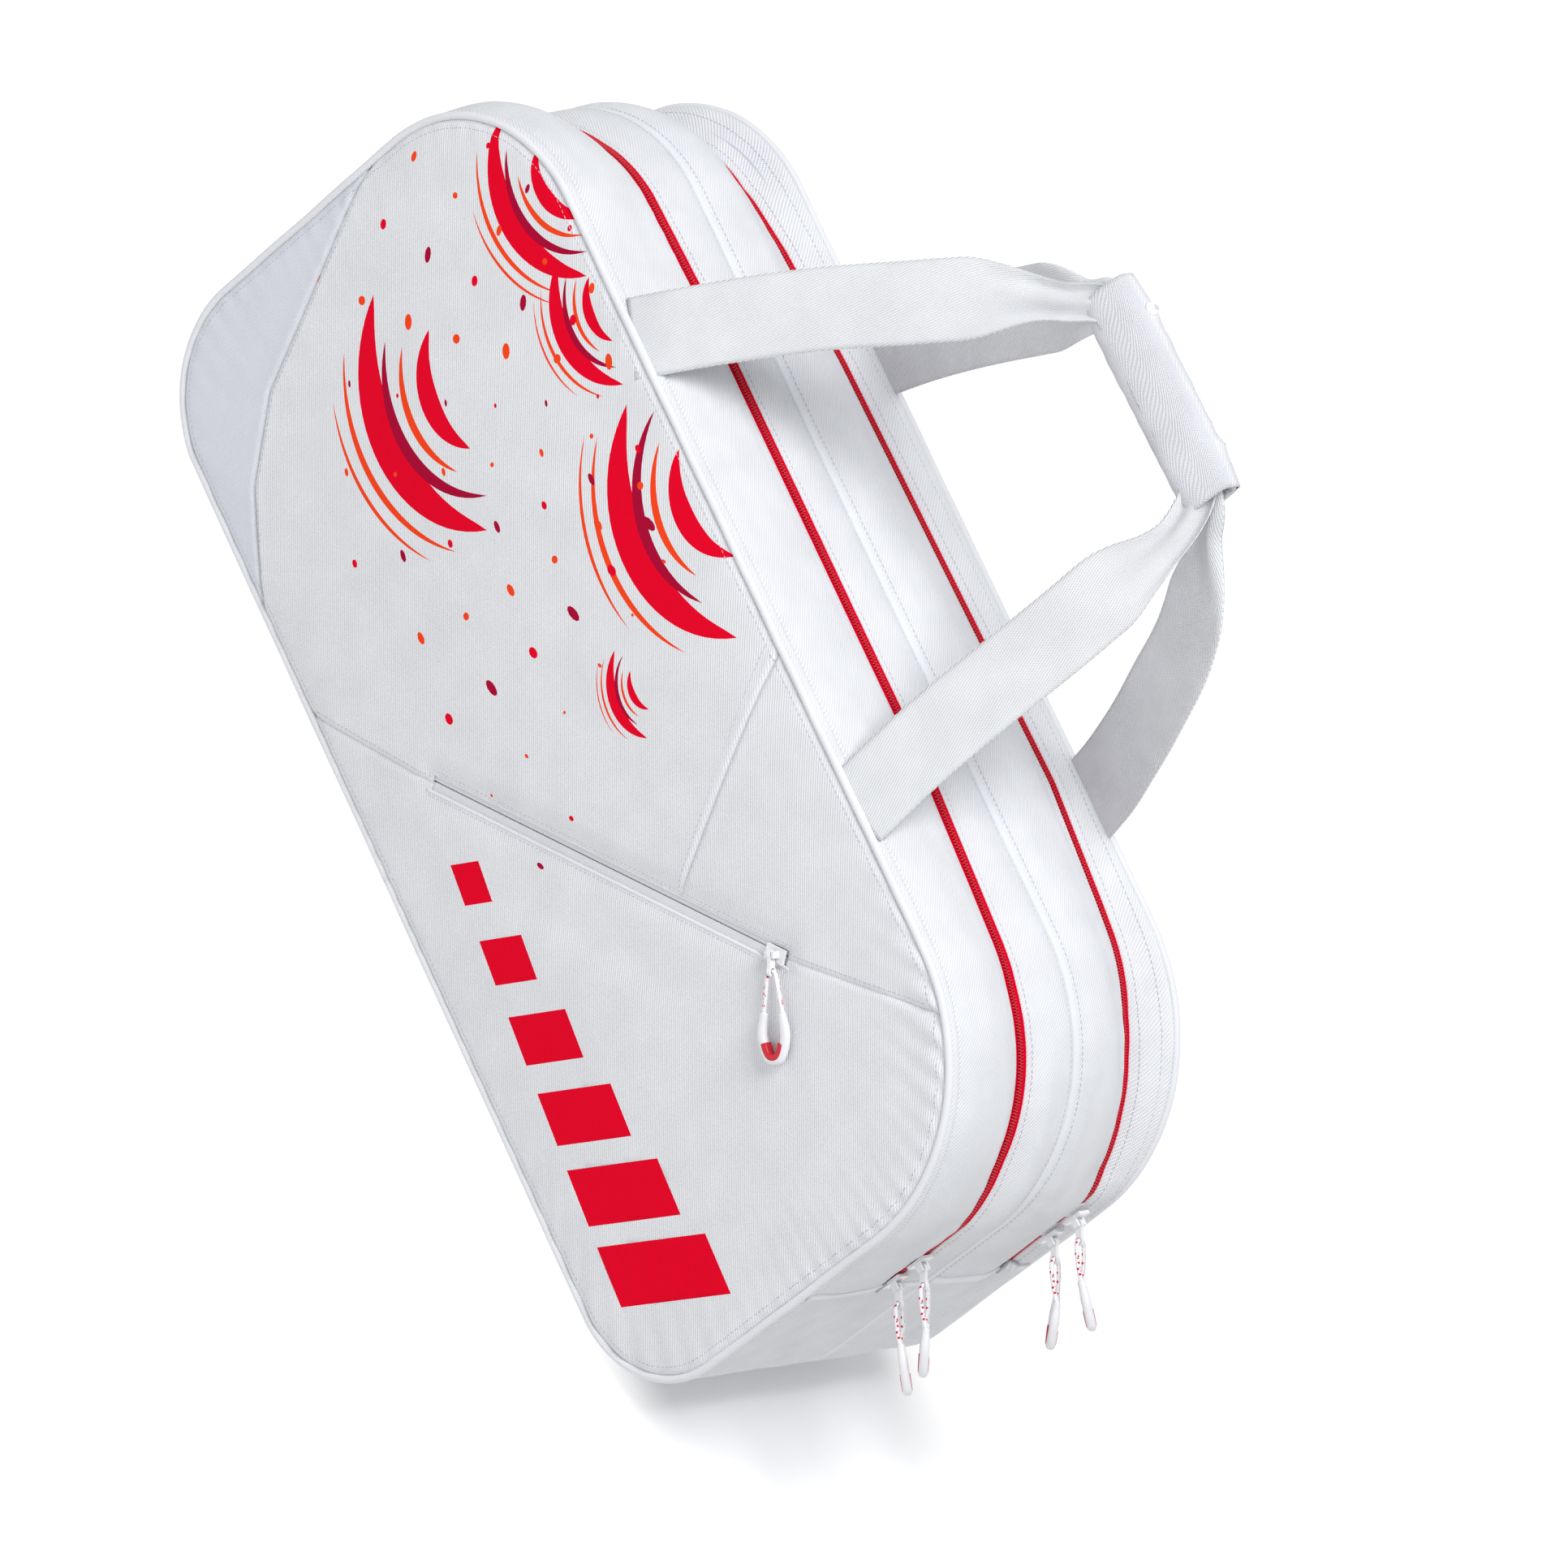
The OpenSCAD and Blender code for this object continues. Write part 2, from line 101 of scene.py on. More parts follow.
def ripples(a, b, seed=0.0):
    """A smooth field between about -1 and 1 with no repeats that show."""
    total = 0
    for i in range(4):
        turn = GOLDEN * (i + 1) + seed
        step = 1.0 + 0.37 * i
        total = total + np.sin(
            step * (a * math.cos(turn) + b * math.sin(turn)) + 3 * turn
            + 0.8 * np.sin(0.6 * step * (b * math.cos(turn) - a * math.sin(turn)))
        )
    return total / 2.6


def pairs(a, b):
    """Two fields of numbers, spread over one grid, as a grid of pairs."""
    return np.stack(np.broadcast_arrays(a, b), -1)


def curve(points, n):
    """n points on a smooth curve through the given ones."""
    points = np.array(points, float)
    chord = np.r_[0, np.cumsum(np.linalg.norm(np.diff(points, axis=0), axis=1))]
    slopes = np.gradient(points, chord, axis=0)
    at = np.linspace(0, chord[-1], n)
    i = np.clip(np.searchsorted(chord, at, side="right") - 1, 0, len(points) - 2)
    h = (chord[i + 1] - chord[i])[:, None]
    t = ((at - chord[i])[:, None]) / h
    return (
        (2 * t**3 - 3 * t**2 + 1) * points[i] + (t**3 - 2 * t**2 + t) * h * slopes[i]
        + (3 * t**2 - 2 * t**3) * points[i + 1] + (t**3 - t**2) * h * slopes[i + 1]
    )


# ---------- Materials ----------

def new_material(name):
    material = bpy.data.materials.new(name)
    material.use_nodes = True
    tree = material.node_tree
    return material, tree, tree.nodes["Principled BSDF"]


def add(tree, kind, **values):
    node = tree.nodes.new(kind)
    for key, value in values.items():
        if hasattr(node, key):
            setattr(node, key, value)
        else:
            node.inputs[key].default_value = value
    return node


def link(tree, start, output, end, socket):
    tree.links.new(start.outputs[output], end.inputs[socket])


def fill(node, **values):
    """Constants for a node's sockets, with _ for the spaces in their names."""
    for key, value in values.items():
        node.inputs[key.replace("_", " ")].default_value = value


def threads(tree, pitch, angle):
    """Parallel threads of one pitch in millimetres, from 0 to 1 across each."""
    coords = add(tree, "ShaderNodeTexCoord")
    turn = add(tree, "ShaderNodeMapping")
    fill(turn, Rotation=(0, 0, angle), Scale=(math.pi / 10 / (pitch * MM),) * 3)
    wave = add(tree, "ShaderNodeTexWave", wave_type="BANDS", bands_direction="X")
    fill(wave, Scale=1.0, Distortion=0.0)
    link(tree, coords, "UV", turn, "Vector")
    link(tree, turn, "Vector", wave, "Vector")
    return wave.outputs["Fac"]


def mix_value(tree, a, b, factor):
    node = add(tree, "ShaderNodeMix", data_type="FLOAT")
    node.inputs["Factor"].default_value = factor
    tree.links.new(a, node.inputs["A"])
    tree.links.new(b, node.inputs["B"])
    return node.outputs["Result"]


def fabric(name, color, pitch=1.5, angle=0.0, depth=0.25, shade=0.88, rough=0.85, sheen=0.12,
           gloss=0.2):
    """Ribbed twill: one strong row of ribs and fine threads across it, with painted shade that darkens
    the low parts of the weave, and uneven dye.
    """
    material, tree, shader = new_material(name)
    ribs = threads(tree, pitch, angle)
    fine = threads(tree, pitch * 0.62, angle + 1.05)
    height = mix_value(tree, ribs, fine, 0.35)
    coords = add(tree, "ShaderNodeTexCoord")
    cloudy = add(tree, "ShaderNodeTexNoise")
    fill(cloudy, Scale=34.0, Detail=4.0)
    link(tree, coords, "Object", cloudy, "Vector")
    # painted shade: where the threads lie low the colour is darkened by the factor shade, mixed with
    # uneven dye from the noise
    groove_shade_and_dye = mix_value(tree, height, cloudy.outputs["Fac"], 0.45)
    ramp = add(tree, "ShaderNodeValToRGB")
    ramp.color_ramp.elements[0].position = 0.25
    ramp.color_ramp.elements[1].position = 0.75
    ramp.color_ramp.elements[0].color = tuple(c * shade for c in color) + (1,)
    ramp.color_ramp.elements[1].color = tuple(color) + (1,)
    tree.links.new(groove_shade_and_dye, ramp.inputs["Fac"])
    bump = add(tree, "ShaderNodeBump")
    fill(bump, Strength=depth, Distance=0.0004)
    tree.links.new(height, bump.inputs["Height"])
    link(tree, ramp, "Color", shader, "Base Color")
    link(tree, bump, "Normal", shader, "Normal")
    fill(shader, Roughness=rough, Sheen_Weight=sheen, Specular_IOR_Level=gloss)
    return material


def dyed(name, color, **values):
    """Cloth in a strong colour, without sheen and nearly without gloss, so that it stays deep."""
    return fabric(name, color, sheen=0.0, gloss=0.06, **values)


def moulded(name, color, rough=0.4, grain=0.06, metal=0.0, coat=0.0):
    """Moulded, cast or enamelled surface with a fine grain and slightly uneven gloss."""
    material, tree, shader = new_material(name)
    coords = add(tree, "ShaderNodeTexCoord")
    fine = add(tree, "ShaderNodeTexNoise")
    fine.inputs["Scale"].default_value = 1400.0
    broad = add(tree, "ShaderNodeTexNoise")
    broad.inputs["Scale"].default_value = 160.0
    for node in (fine, broad):
        link(tree, coords, "Object", node, "Vector")
    bump = add(tree, "ShaderNodeBump")
    fill(bump, Strength=grain, Distance=0.0003)
    link(tree, fine, "Fac", bump, "Height")
    ramp = add(tree, "ShaderNodeValToRGB")
    ramp.color_ramp.elements[0].color = tuple(c * 0.93 for c in color) + (1,)
    ramp.color_ramp.elements[1].color = tuple(color) + (1,)
    gloss = add(tree, "ShaderNodeMapRange")
    fill(gloss, To_Min=rough * 0.8, To_Max=rough * 1.2)
    link(tree, broad, "Fac", ramp, "Fac")
    link(tree, broad, "Fac", gloss, "Value")
    link(tree, gloss, "Result", shader, "Roughness")
    link(tree, ramp, "Color", shader, "Base Color")
    link(tree, bump, "Normal", shader, "Normal")
    fill(shader, Metallic=metal, Coat_Weight=coat)
    return material


def flecked(name, color, fleck):
    """Braided cord: crossing strands, with a short coloured fleck now and then."""
    material, tree, shader = new_material(name)
    height = mix_value(tree, threads(tree, 1.3, 0.7), threads(tree, 1.3, -0.7), 0.5)
    coords = add(tree, "ShaderNodeTexCoord")
    stretch = add(tree, "ShaderNodeMapping")
    stretch.inputs["Scale"].default_value = (330, 260, 1)
    cells = add(tree, "ShaderNodeTexVoronoi")
    cells.inputs["Scale"].default_value = 1.0
    link(tree, coords, "UV", stretch, "Vector")
    link(tree, stretch, "Vector", cells, "Vector")
    ramp = add(tree, "ShaderNodeValToRGB")
    ramp.color_ramp.interpolation = "CONSTANT"
    ramp.color_ramp.elements[0].color = tuple(fleck) + (1,)
    ramp.color_ramp.elements[1].position = 0.3
    ramp.color_ramp.elements[1].color = tuple(color) + (1,)
    link(tree, cells, "Distance", ramp, "Fac")
    bump = add(tree, "ShaderNodeBump")
    fill(bump, Strength=0.5, Distance=0.0004)
    tree.links.new(height, bump.inputs["Height"])
    link(tree, ramp, "Color", shader, "Base Color")
    link(tree, bump, "Normal", shader, "Normal")
    shader.inputs["Roughness"].default_value = 0.75
    return material


WHITE = (0.84, 0.85, 0.88)
FRONT_RIBS, SIDE_RIBS = -0.99, 1.03
TWILL = fabric("side_twill", WHITE, pitch=1.6, angle=SIDE_RIBS, depth=1.0, shade=0.79)
FRONT_TWILL = fabric("front_twill", WHITE, pitch=1.7, angle=FRONT_RIBS, depth=0.9, shade=0.82)
SHADED_TWILL = fabric("wedge_twill", (0.73, 0.75, 0.80), pitch=1.7, angle=-0.35, depth=0.5)
PIPING = fabric("piping_twill", (0.81, 0.82, 0.85), pitch=1.1, angle=0.8, depth=0.4)
WEBBING = fabric("webbing", (0.82, 0.83, 0.855), pitch=1.6, angle=1.2, depth=1.0, shade=0.76)
WRAP = fabric("grip_wrap", (0.76, 0.77, 0.81), pitch=1.6, angle=1.2, depth=1.0, shade=0.80)
LINING = fabric("lining", (0.62, 0.64, 0.69), pitch=0.9, angle=0.8, depth=0.15, rough=0.6)
SPACER = fabric("spacer_mesh", (0.72, 0.74, 0.79), pitch=2.6, angle=0.9, depth=0.9, shade=0.7)
# painted shade: the thread is grey, darker than the white cloth, so that each stitch row reads as the
# shadowed dashes of its holes
SHADED_THREAD = fabric("shaded_sewing_thread", (0.50, 0.52, 0.58), pitch=0.5, angle=0.6, depth=0.3)
WHITE_TAPE = fabric("zip_tape_white", (0.77, 0.78, 0.81), pitch=0.9, angle=0.3, depth=0.3)
ZIP_TAPE = dyed("zip_tape_red", (0.66, 0.0, 0.020), pitch=0.9, angle=0.3, depth=0.3)
PRINT_RED, PRINT_DARK, PRINT_ORANGE = (
    dyed(name, color, pitch=1.7, angle=FRONT_RIBS, depth=0.3, shade=0.94)
    for name, color in (("print_red", (0.80, 0.0, 0.020)), ("print_crimson", (0.40, 0.002, 0.034)),
                        ("print_orange", (0.92, 0.060, 0.012)))
)
RED_COIL = moulded("zip_coil_red", (0.58, 0.004, 0.018), rough=0.35)
WHITE_COIL = moulded("zip_coil_white", (0.80, 0.81, 0.84), rough=0.35)
ENAMEL = moulded("white_enamel", (0.84, 0.84, 0.86), rough=0.28, coat=0.3)
PLASTIC = moulded("white_acetal", (0.82, 0.83, 0.85), rough=0.42)
RUBBER = moulded("white_rubber", (0.80, 0.80, 0.83), rough=0.5, grain=0.12)
RED_RUBBER = moulded("red_rubber", (0.60, 0.004, 0.020), rough=0.45, grain=0.12)
STEEL = moulded("plated_snap", (0.84, 0.84, 0.85), rough=0.5, metal=0.6)
CORD = flecked("flecked_cord", (0.84, 0.84, 0.86), (0.60, 0.01, 0.03))


# ---------- Mesh helpers ----------

def piece(name, verts, faces, uvs, materials, face_slots=None, mend=True):
    """A smooth-shaded mesh from points in millimetres, with a UV in metres of cloth."""
    mesh = bpy.data.meshes.new(name)
    mesh.from_pydata((np.asarray(verts) * MM).tolist(), [], [list(map(int, f)) for f in faces])
    layer = mesh.uv_layers.new(name="UVMap")
    corner = np.empty(len(mesh.loops), int)
    mesh.loops.foreach_get("vertex_index", corner)
    layer.data.foreach_set("uv", (np.asarray(uvs)[corner] * MM).ravel())
    for material in materials if isinstance(materials, (list, tuple)) else [materials]:
        mesh.materials.append(material)
    if face_slots is not None:
        mesh.polygons.foreach_set("material_index", np.asarray(face_slots, int))
    mesh.polygons.foreach_set("use_smooth", [True] * len(mesh.polygons))
    if mend:
        work = bmesh.new()
        work.from_mesh(mesh)
        bmesh.ops.recalc_face_normals(work, faces=work.faces)
        work.to_mesh(mesh)
        work.free()
    made = bpy.data.objects.new(name, mesh)
    bpy.context.scene.collection.objects.link(made)
    return made


def quads(rows, columns, wrap_rows=False, wrap_columns=False):
    """Faces of a grid whose vertex number is row * columns + column."""
    i = np.arange(rows if wrap_rows else rows - 1)[:, None]
    j = np.arange(columns if wrap_columns else columns - 1)[None, :]
    up, right = (i + 1) % rows, (j + 1) % columns
    cells = [i * columns + j, i * columns + right, up * columns + right, up * columns + j]
    return np.stack([np.broadcast_to(c, (i.size, j.size)) for c in cells], -1).reshape(-1, 4)


def thick_sheet(name, outer, inner, uv, material):
    """A closed sheet between two grids of points, shaped (rows, columns, 3)."""
    rows, columns = outer.shape[:2]
    n = rows * columns
    top = quads(rows, columns)
    faces = [top, top[:, ::-1] + n]
    ring = np.arange(n).reshape(rows, columns)
    for line in (ring[:, 0], ring[:, -1], ring[0], ring[-1]):
        a, b = line[:-1], line[1:]
        faces.append(np.stack([a, b, b + n, a + n], 1))
    verts = np.concatenate([outer.reshape(-1, 3), inner.reshape(-1, 3)])
    uvs = np.concatenate([uv.reshape(-1, 2)] * 2)
    return piece(name, verts, np.concatenate(faces), uvs, material)


def sweep(name, path, section, material, closed=False, up=(0, 0, 1), scale=None):
    """A section in millimetres carried along a path, with its first axis near up."""
    path = np.asarray(path, float)
    ahead = np.roll(path, -1, 0) - np.roll(path, 1, 0) if closed else np.gradient(path, axis=0)
    ahead /= np.linalg.norm(ahead, axis=1)[:, None]
    side = np.array(up, float) - ahead * (ahead @ np.array(up, float))[:, None]
    side /= np.linalg.norm(side, axis=1)[:, None]
    other = np.cross(ahead, side)
    size = np.ones(len(path)) if scale is None else np.asarray(scale)
    section = np.asarray(section, float)
    verts = (
        path[:, None] + size[:, None, None]
        * (section[None, :, :1] * side[:, None] + section[None, :, 1:] * other[:, None])
    )
    n, m = len(path), len(section)
    faces = [list(f) for f in quads(n, m, closed, True)]
    if not closed:
        faces += [list(range(m))[::-1], list(range((n - 1) * m, n * m))]
    run = np.r_[0, np.cumsum(np.linalg.norm(np.diff(path, axis=0), axis=1))]
    girth = np.linalg.norm(section, axis=1).mean() * 2 * math.pi
    uv = pairs(run[:, None], np.linspace(0, girth, m)[None])
    return piece(name, verts.reshape(-1, 3), faces, uv.reshape(-1, 2), material)


def rounded(width, height, corner, n=5):
    """A rounded rectangle, about its middle."""
    points = []
    for sx, sy, start in ((1, 1, 0), (-1, 1, 90), (-1, -1, 180), (1, -1, 270)):
        for k in range(n):
            angle = math.radians(start + 90 * k / (n - 1))
            points.append([
                sx * (width / 2 - corner) + corner * math.cos(angle),
                sy * (height / 2 - corner) + corner * math.sin(angle),
            ])
    return np.array(points)


def circle(radius, n=10):
    angle = np.arange(n) * 2 * math.pi / n
    return np.stack([radius * np.cos(angle), radius * np.sin(angle)], 1)


def beads(name, centres, along, outward, size, material, sides=5):
    """Many small rounded bars in one piece, each with its own direction.
    size is (length along, width, height)."""
    centres, along, outward = (np.asarray(a, float) for a in (centres, along, outward))
    across = np.cross(along, outward)
    rings = ((-0.5, 0.35), (-0.3, 0.95), (0.3, 0.95), (0.5, 0.35))
    angle = np.arange(sides) * 2 * math.pi / sides
    offsets = []
    for at, fat in rings:
        for a in angle:
            offsets.append((at * size[0], fat * size[1] / 2 * math.cos(a),
                            fat * size[2] / 2 * math.sin(a)))
    o = np.array(offsets)
    verts = (
        centres[:, None] + o[None, :, :1] * along[:, None]
        + o[None, :, 1:2] * across[:, None] + o[None, :, 2:] * outward[:, None]
    )
    body = quads(len(rings), sides, False, True)
    one = [list(f) for f in body] + [list(range(sides))[::-1],
                                     list(range(3 * sides, 4 * sides))]
    m = len(rings) * sides
    faces = [[v + i * m for v in f] for i in range(len(centres)) for f in one]
    uv = np.tile(o[:, :2], (len(centres), 1))
    return piece(name, verts.reshape(-1, 3), faces, uv, material, mend=False)


STITCH_PITCH, STITCH_SINK = 3.8, 0.15


def stitches(name, path, outward, body, closed=False):
    """A row of sewn stitches lying on a surface along a path."""
    path, outward = np.asarray(path, float), np.asarray(outward, float)
    if closed:
        path, outward = np.r_[path, path[:1]], np.r_[outward, outward[:1]]
    run = np.r_[0, np.cumsum(np.linalg.norm(np.diff(path, axis=0), axis=1))]
    at = np.arange(STITCH_PITCH / 2, run[-1] - STITCH_PITCH / 3, STITCH_PITCH)
    spot = np.stack([np.interp(at, run, path[:, i]) for i in range(3)], 1)
    ahead = np.stack([np.interp(at + 0.8, run, path[:, i]) for i in range(3)], 1) - spot
    ahead /= np.linalg.norm(ahead, axis=1)[:, None] + 1e-9
    out = np.stack([np.interp(at, run, outward[:, i]) for i in range(3)], 1)
    out -= ahead * (out * ahead).sum(1)[:, None]
    out /= np.linalg.norm(out, axis=1)[:, None]
    size = (STITCH_PITCH * 0.72, 0.75, 0.7)
    made = beads(name, spot - out * STITCH_SINK, ahead, out, size, SHADED_THREAD, 4)
    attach(made, body)
    return made


def place(made, body, slot, *nodes):
    """A rigid piece goes on its body and hides the CAD parts it stands for; slot is not used."""
    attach(made, body)
    if nodes:
        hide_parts(*nodes)
    return made


# ---------- The outline that the whole bag follows ----------

def outline_table():
    """s, x, z and the outward normal, walking from the middle of the spine side to +X."""
    points, normals = [], []
    legs = [((1, -1), -90), ((1, 1), 0), ((-1, 1), 90), ((-1, -1), 180)]
    for (sx, sz), start in legs:
        r = RADIUS[sx, sz]
        cx = sx * (HALF_L - r)
        cz = r if sz < 0 else BODY_H - r
        for k in range(41):
            a = math.radians(start + 90 * k / 40)
            points.append((cx + r * math.cos(a), cz + r * math.sin(a)))
            normals.append((math.cos(a), math.sin(a)))
    points = [(0.0, 0.0)] + points + [(0.0, 0.0)]
    normals = [(0.0, -1.0)] + normals + [(0.0, -1.0)]
    points, normals = np.array(points), np.array(normals)
    s = np.r_[0, np.cumsum(np.linalg.norm(np.diff(points, axis=0), axis=1))]
    return s, points, normals


OUT_S, OUT_P, OUT_N = outline_table()
ROUND = OUT_S[-1]


def on_outline(s):
    """The place (x, z) and the outward normal at a distance along the outline."""
    s = np.mod(s, ROUND)
    point = np.stack([np.interp(s, OUT_S, OUT_P[:, i]) for i in (0, 1)], -1)
    normal = np.stack([np.interp(s, OUT_S, OUT_N[:, i]) for i in (0, 1)], -1)
    return point, normal / np.linalg.norm(normal, axis=-1, keepdims=True)


def s_of_end(sign):
    """Where the zips end on the +X end (sign 1) or the -X end (sign -1)."""
    s = np.linspace(0, ROUND / 2, 4000) if sign > 0 else np.linspace(ROUND, ROUND / 2, 4000)
    z = on_outline(s)[0][:, 1]
    return s[np.argmax(z >= ZIP_END_Z)]


S_LOW, S_HIGH = s_of_end(1), s_of_end(-1)

# How far the cloth stands out (+) or pulls in (-) across the gusset, front to back
SWELL_KNOTS = [
    (-104, -1.4), (-102.6, -0.3), (-101, 0.6), (-98.6, 0.6), (-97.4, -1.7), (-96, 0.2), (-90, 2.2),
    (-72, 4.2), (-50, 3.0), (-42, 0.9), (-38.6, -0.4), (-36.4, -1.5),
    (-32, -1.7), (-27.6, -1.5), (-25.4, -0.4), (-22, 0.8), (-12, 2.6), (-2, 2.0), (4, -0.2), (6, -1.4),
    (12, -1.4), (14, -0.2), (24, 3.0), (45, 4.8), (62, 3.4), (71, 0.6), (74.8, -0.9), (77, -2.4),
    (79, -2.6), (81, -2.4), (82.8, -0.9), (86, 0.6), (94, 1.6), (99, 0.4), (101, -1.6),
]
SWELL_Y = np.linspace(-110, 110, 881)
SOFTEN = np.exp(-np.linspace(-2.2, 2.2, 7) ** 2)
SWELL_W = np.convolve(np.pad(np.interp(SWELL_Y, *np.array(SWELL_KNOTS).T), 3, "edge"),
                      SOFTEN / SOFTEN.sum(), "valid")

# The cloth is drawn inwards along each zip, most where the outline turns its corners.
# Each pair is a distance along the outline and how far in the zip lies there.
FRONT_DRAW = [(470, -1), (590, 0.5), (640, 7), (700, 8), (757, 9), (830, 4), (895, 0),
              (1240, 0), (1311, 3), (1368, 8), (1420, 8), (1560, 1), (1620, -2)]
REAR_DRAW = [(470, 0), (600, 3), (608, 5), (620, 9), (660, 16), (700, 20), (732, 20),
             (811, 11), (890, 4), (990, 6), (1190, 10), (1274, 15), (1329, 23), (1394, 20),
             (1480, 8), (1560, 2), (1620, 0)]
# Beside the front pulls the cloth stands out no further than this
HELD_FLAT = -0.8


def drawn_in(s, y):
    """Inward offset of the cloth beside the two zips."""
    s = np.mod(s, ROUND)
    front = np.interp(s, *np.array(FRONT_DRAW, float).T)
    rear = np.interp(s, *np.array(REAR_DRAW, float).T)
    front = front * bell(y - FRONT_ZIP_Y, 21)
    back = np.clip((REAR_Y - y) / (REAR_Y - REAR_ZIP_Y), 0, 1)
    rear = rear * np.where(y < REAR_ZIP_Y, bell(y - REAR_ZIP_Y, 30), np.sqrt(smooth(back)))
    return front + rear


def stand_out(s, y, fuss=1.0):
    """Outward offset of the gusset's cloth at s along the outline and depth y."""
    _, normal = on_outline(s)
    free = smooth((normal[..., 1] + 0.85) / 0.6)
    swell = np.interp(y, SWELL_Y, SWELL_W)
    beside_pulls = bell(s - 420, 95)
    swell = np.where(swell > 0, swell * free * (1 - 0.75 * beside_pulls),
                     swell * (0.25 + 0.75 * free))
    deep = drawn_in(s, y) * free
    seam = np.min(np.abs(np.stack([
        y - FRONT_Y, y - FRONT_ZIP_Y, y - MIDDLE_Y, y - REAR_ZIP_Y, y - REAR_Y])), 0)
    ease = smooth((seam - 3.5) / 6)
    turning = np.maximum(bell(s - 700, 150), bell(s - 1390, 120))
    broad = (0.9 + 0.9 * turning) * ripples(s / 46, y / 30, 0.4) * ease * free
    broad = broad + 1.1 * turning * ripples(s / 60 + y / 14, y / 11, 3.0) * ease * free
    pinch = 0.8 * np.sin(s / 2.9 + 2.4 * ripples(s / 60, y / 60)) * np.exp(-seam / 9) * free
    pinch = pinch * (0.55 + 0.45 * ripples(s / 45, y / 40, 5.0))
    crossing = np.maximum(bell(s - S_LOW + 14, 34), bell(s - S_HIGH - 14, 34))
    crumple = 1.3 * crossing * ripples(s / 17, y / 13, 2.0) * ease
    folds = (broad + pinch * ease + crumple) * (1 - 0.5 * beside_pulls) - 0.9 * beside_pulls * ease
    out = swell - deep + fuss * folds
    # flat beside the front pulls, so that it clears them when the front opens
    held = smooth((s - 385) / 30) * smooth((524 - s) / 18) * smooth((MIDDLE_Y - 2 - y) / 12)
    return out - held * np.maximum(out - HELD_FLAT, 0)


def on_gusset(s, y, lift=0.0, fuss=1.0):
    """Points and outward normals on the gusset's cloth, with fuss 0 for no folds."""
    s, y = np.broadcast_arrays(np.asarray(s, float), np.asarray(y, float))
    point, normal = on_outline(s)
    w = stand_out(s, y, fuss) + lift
    return (
        np.stack([point[..., 0] + normal[..., 0] * w, y, point[..., 1] + normal[..., 1] * w], -1),
        np.stack([normal[..., 0], 0 * y, normal[..., 1]], -1),
    )


def keep_off_floor(points, least=0.25):
    points[..., 2] = np.maximum(points[..., 2], least)
    return points


def gusset(name, s0, s1, y0, y1, material=TWILL, lift=0.0, thickness=1.6, step=1.7):
    """A closed strip of cloth along the outline from s0 to s1, between the depths y0 and y1."""
    n_s = max(int(abs(s1 - s0) / 3.6), 4)
    n_y = max(int((y1 - y0) / step), 4)
    s = np.linspace(s0, s1, n_s)[:, None]
    # closer rows at both sewn edges
    t = np.linspace(0, 1, n_y + 1)[None]
    t = t - 0.12 * np.sin(2 * math.pi * t)
    y = y0 + (y1 - y0) * t
    outer, normal = on_gusset(s, y, lift)
    inner = outer - normal * thickness
    keep_off_floor(outer)
    keep_off_floor(inner, 0.25 + thickness)
    uv = pairs(s + 0 * y, y + 0 * s)
    return thick_sheet(name, outer, inner, uv, material)


def gussets():
    low, high = S_LOW + 0.4, S_HIGH - 0.4
    near = ZIP_HALF - 0.3
    far = 2.9
    front = gusset("front_gusset_cloth", low, high, FRONT_Y + 0.6, FRONT_ZIP_Y - near)
    place(front, "front_shell", "white_twill", "front_gusset")
    mid = gusset("front_mid_cloth", low, high, FRONT_ZIP_Y + near, MIDDLE_Y - 0.8)
    place(mid, "core", "white_twill", "front_mid_gusset")
    mid = gusset("rear_mid_cloth", low, high, MIDDLE_Y + 0.8, REAR_ZIP_Y - far)
    place(mid, "core", "white_twill", "rear_mid_gusset")
    rear = gusset("rear_gusset_cloth", low, high, REAR_ZIP_Y + far, REAR_Y - 0.6)
    place(rear, "rear_shell", "white_twill", "rear_gusset")
    lower = gusset("front_lower_cloth", S_HIGH - ROUND, S_LOW, FRONT_Y + 0.6, MIDDLE_Y - 0.8)
    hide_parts("front_lower_gusset")
    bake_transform(lower)
    lower = gusset("rear_lower_cloth", S_HIGH - ROUND, S_LOW, MIDDLE_Y + 0.8, REAR_Y - 0.6)
    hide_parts("rear_lower_gusset")
    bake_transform(lower)


# ---------- Zips ----------

TEETH_PITCH = 2.1


def zip_side(zip_y, inner_half, body, name, node):
    """One half of a red zip: woven tape and a row of teeth."""
    way = 1 if inner_half else -1
    low, high = S_LOW + 0.6, S_HIGH - 0.6
    a, b = sorted((zip_y + way * (ZIP_HALF + 1.5), zip_y + way * 0.5))
    tape = gusset(name + "_tape", low, high, a, b, ZIP_TAPE, lift=-0.5, thickness=0.7, step=1.0)
    place(tape, body, "red_zip", node)
    s = np.arange(low + 2 + (TEETH_PITCH / 2 if inner_half else 0), high - 2, TEETH_PITCH)
    centre, out = on_gusset(s, zip_y + way * 0.95 + 0 * s, 0.1)
    across = np.tile([0.0, 1.0, 0.0], (len(s), 1))
    teeth = beads(name + "_teeth", centre, across, out, (2.9, 1.45, 1.3), RED_COIL)
    place(teeth, body, "red_zip")


def zips():
    zip_side(FRONT_ZIP_Y, True, "core", "front_zip_in", "front_zip_inner")
    zip_side(FRONT_ZIP_Y, False, "front_shell", "front_zip_out", "front_zip_outer")
    zip_side(REAR_ZIP_Y, False, "core", "rear_zip_in", "rear_zip_inner")
    zip_side(REAR_ZIP_Y, True, "rear_shell", "rear_zip_out", "rear_zip_outer")


# ---------- Piping and rows of stitches ----------

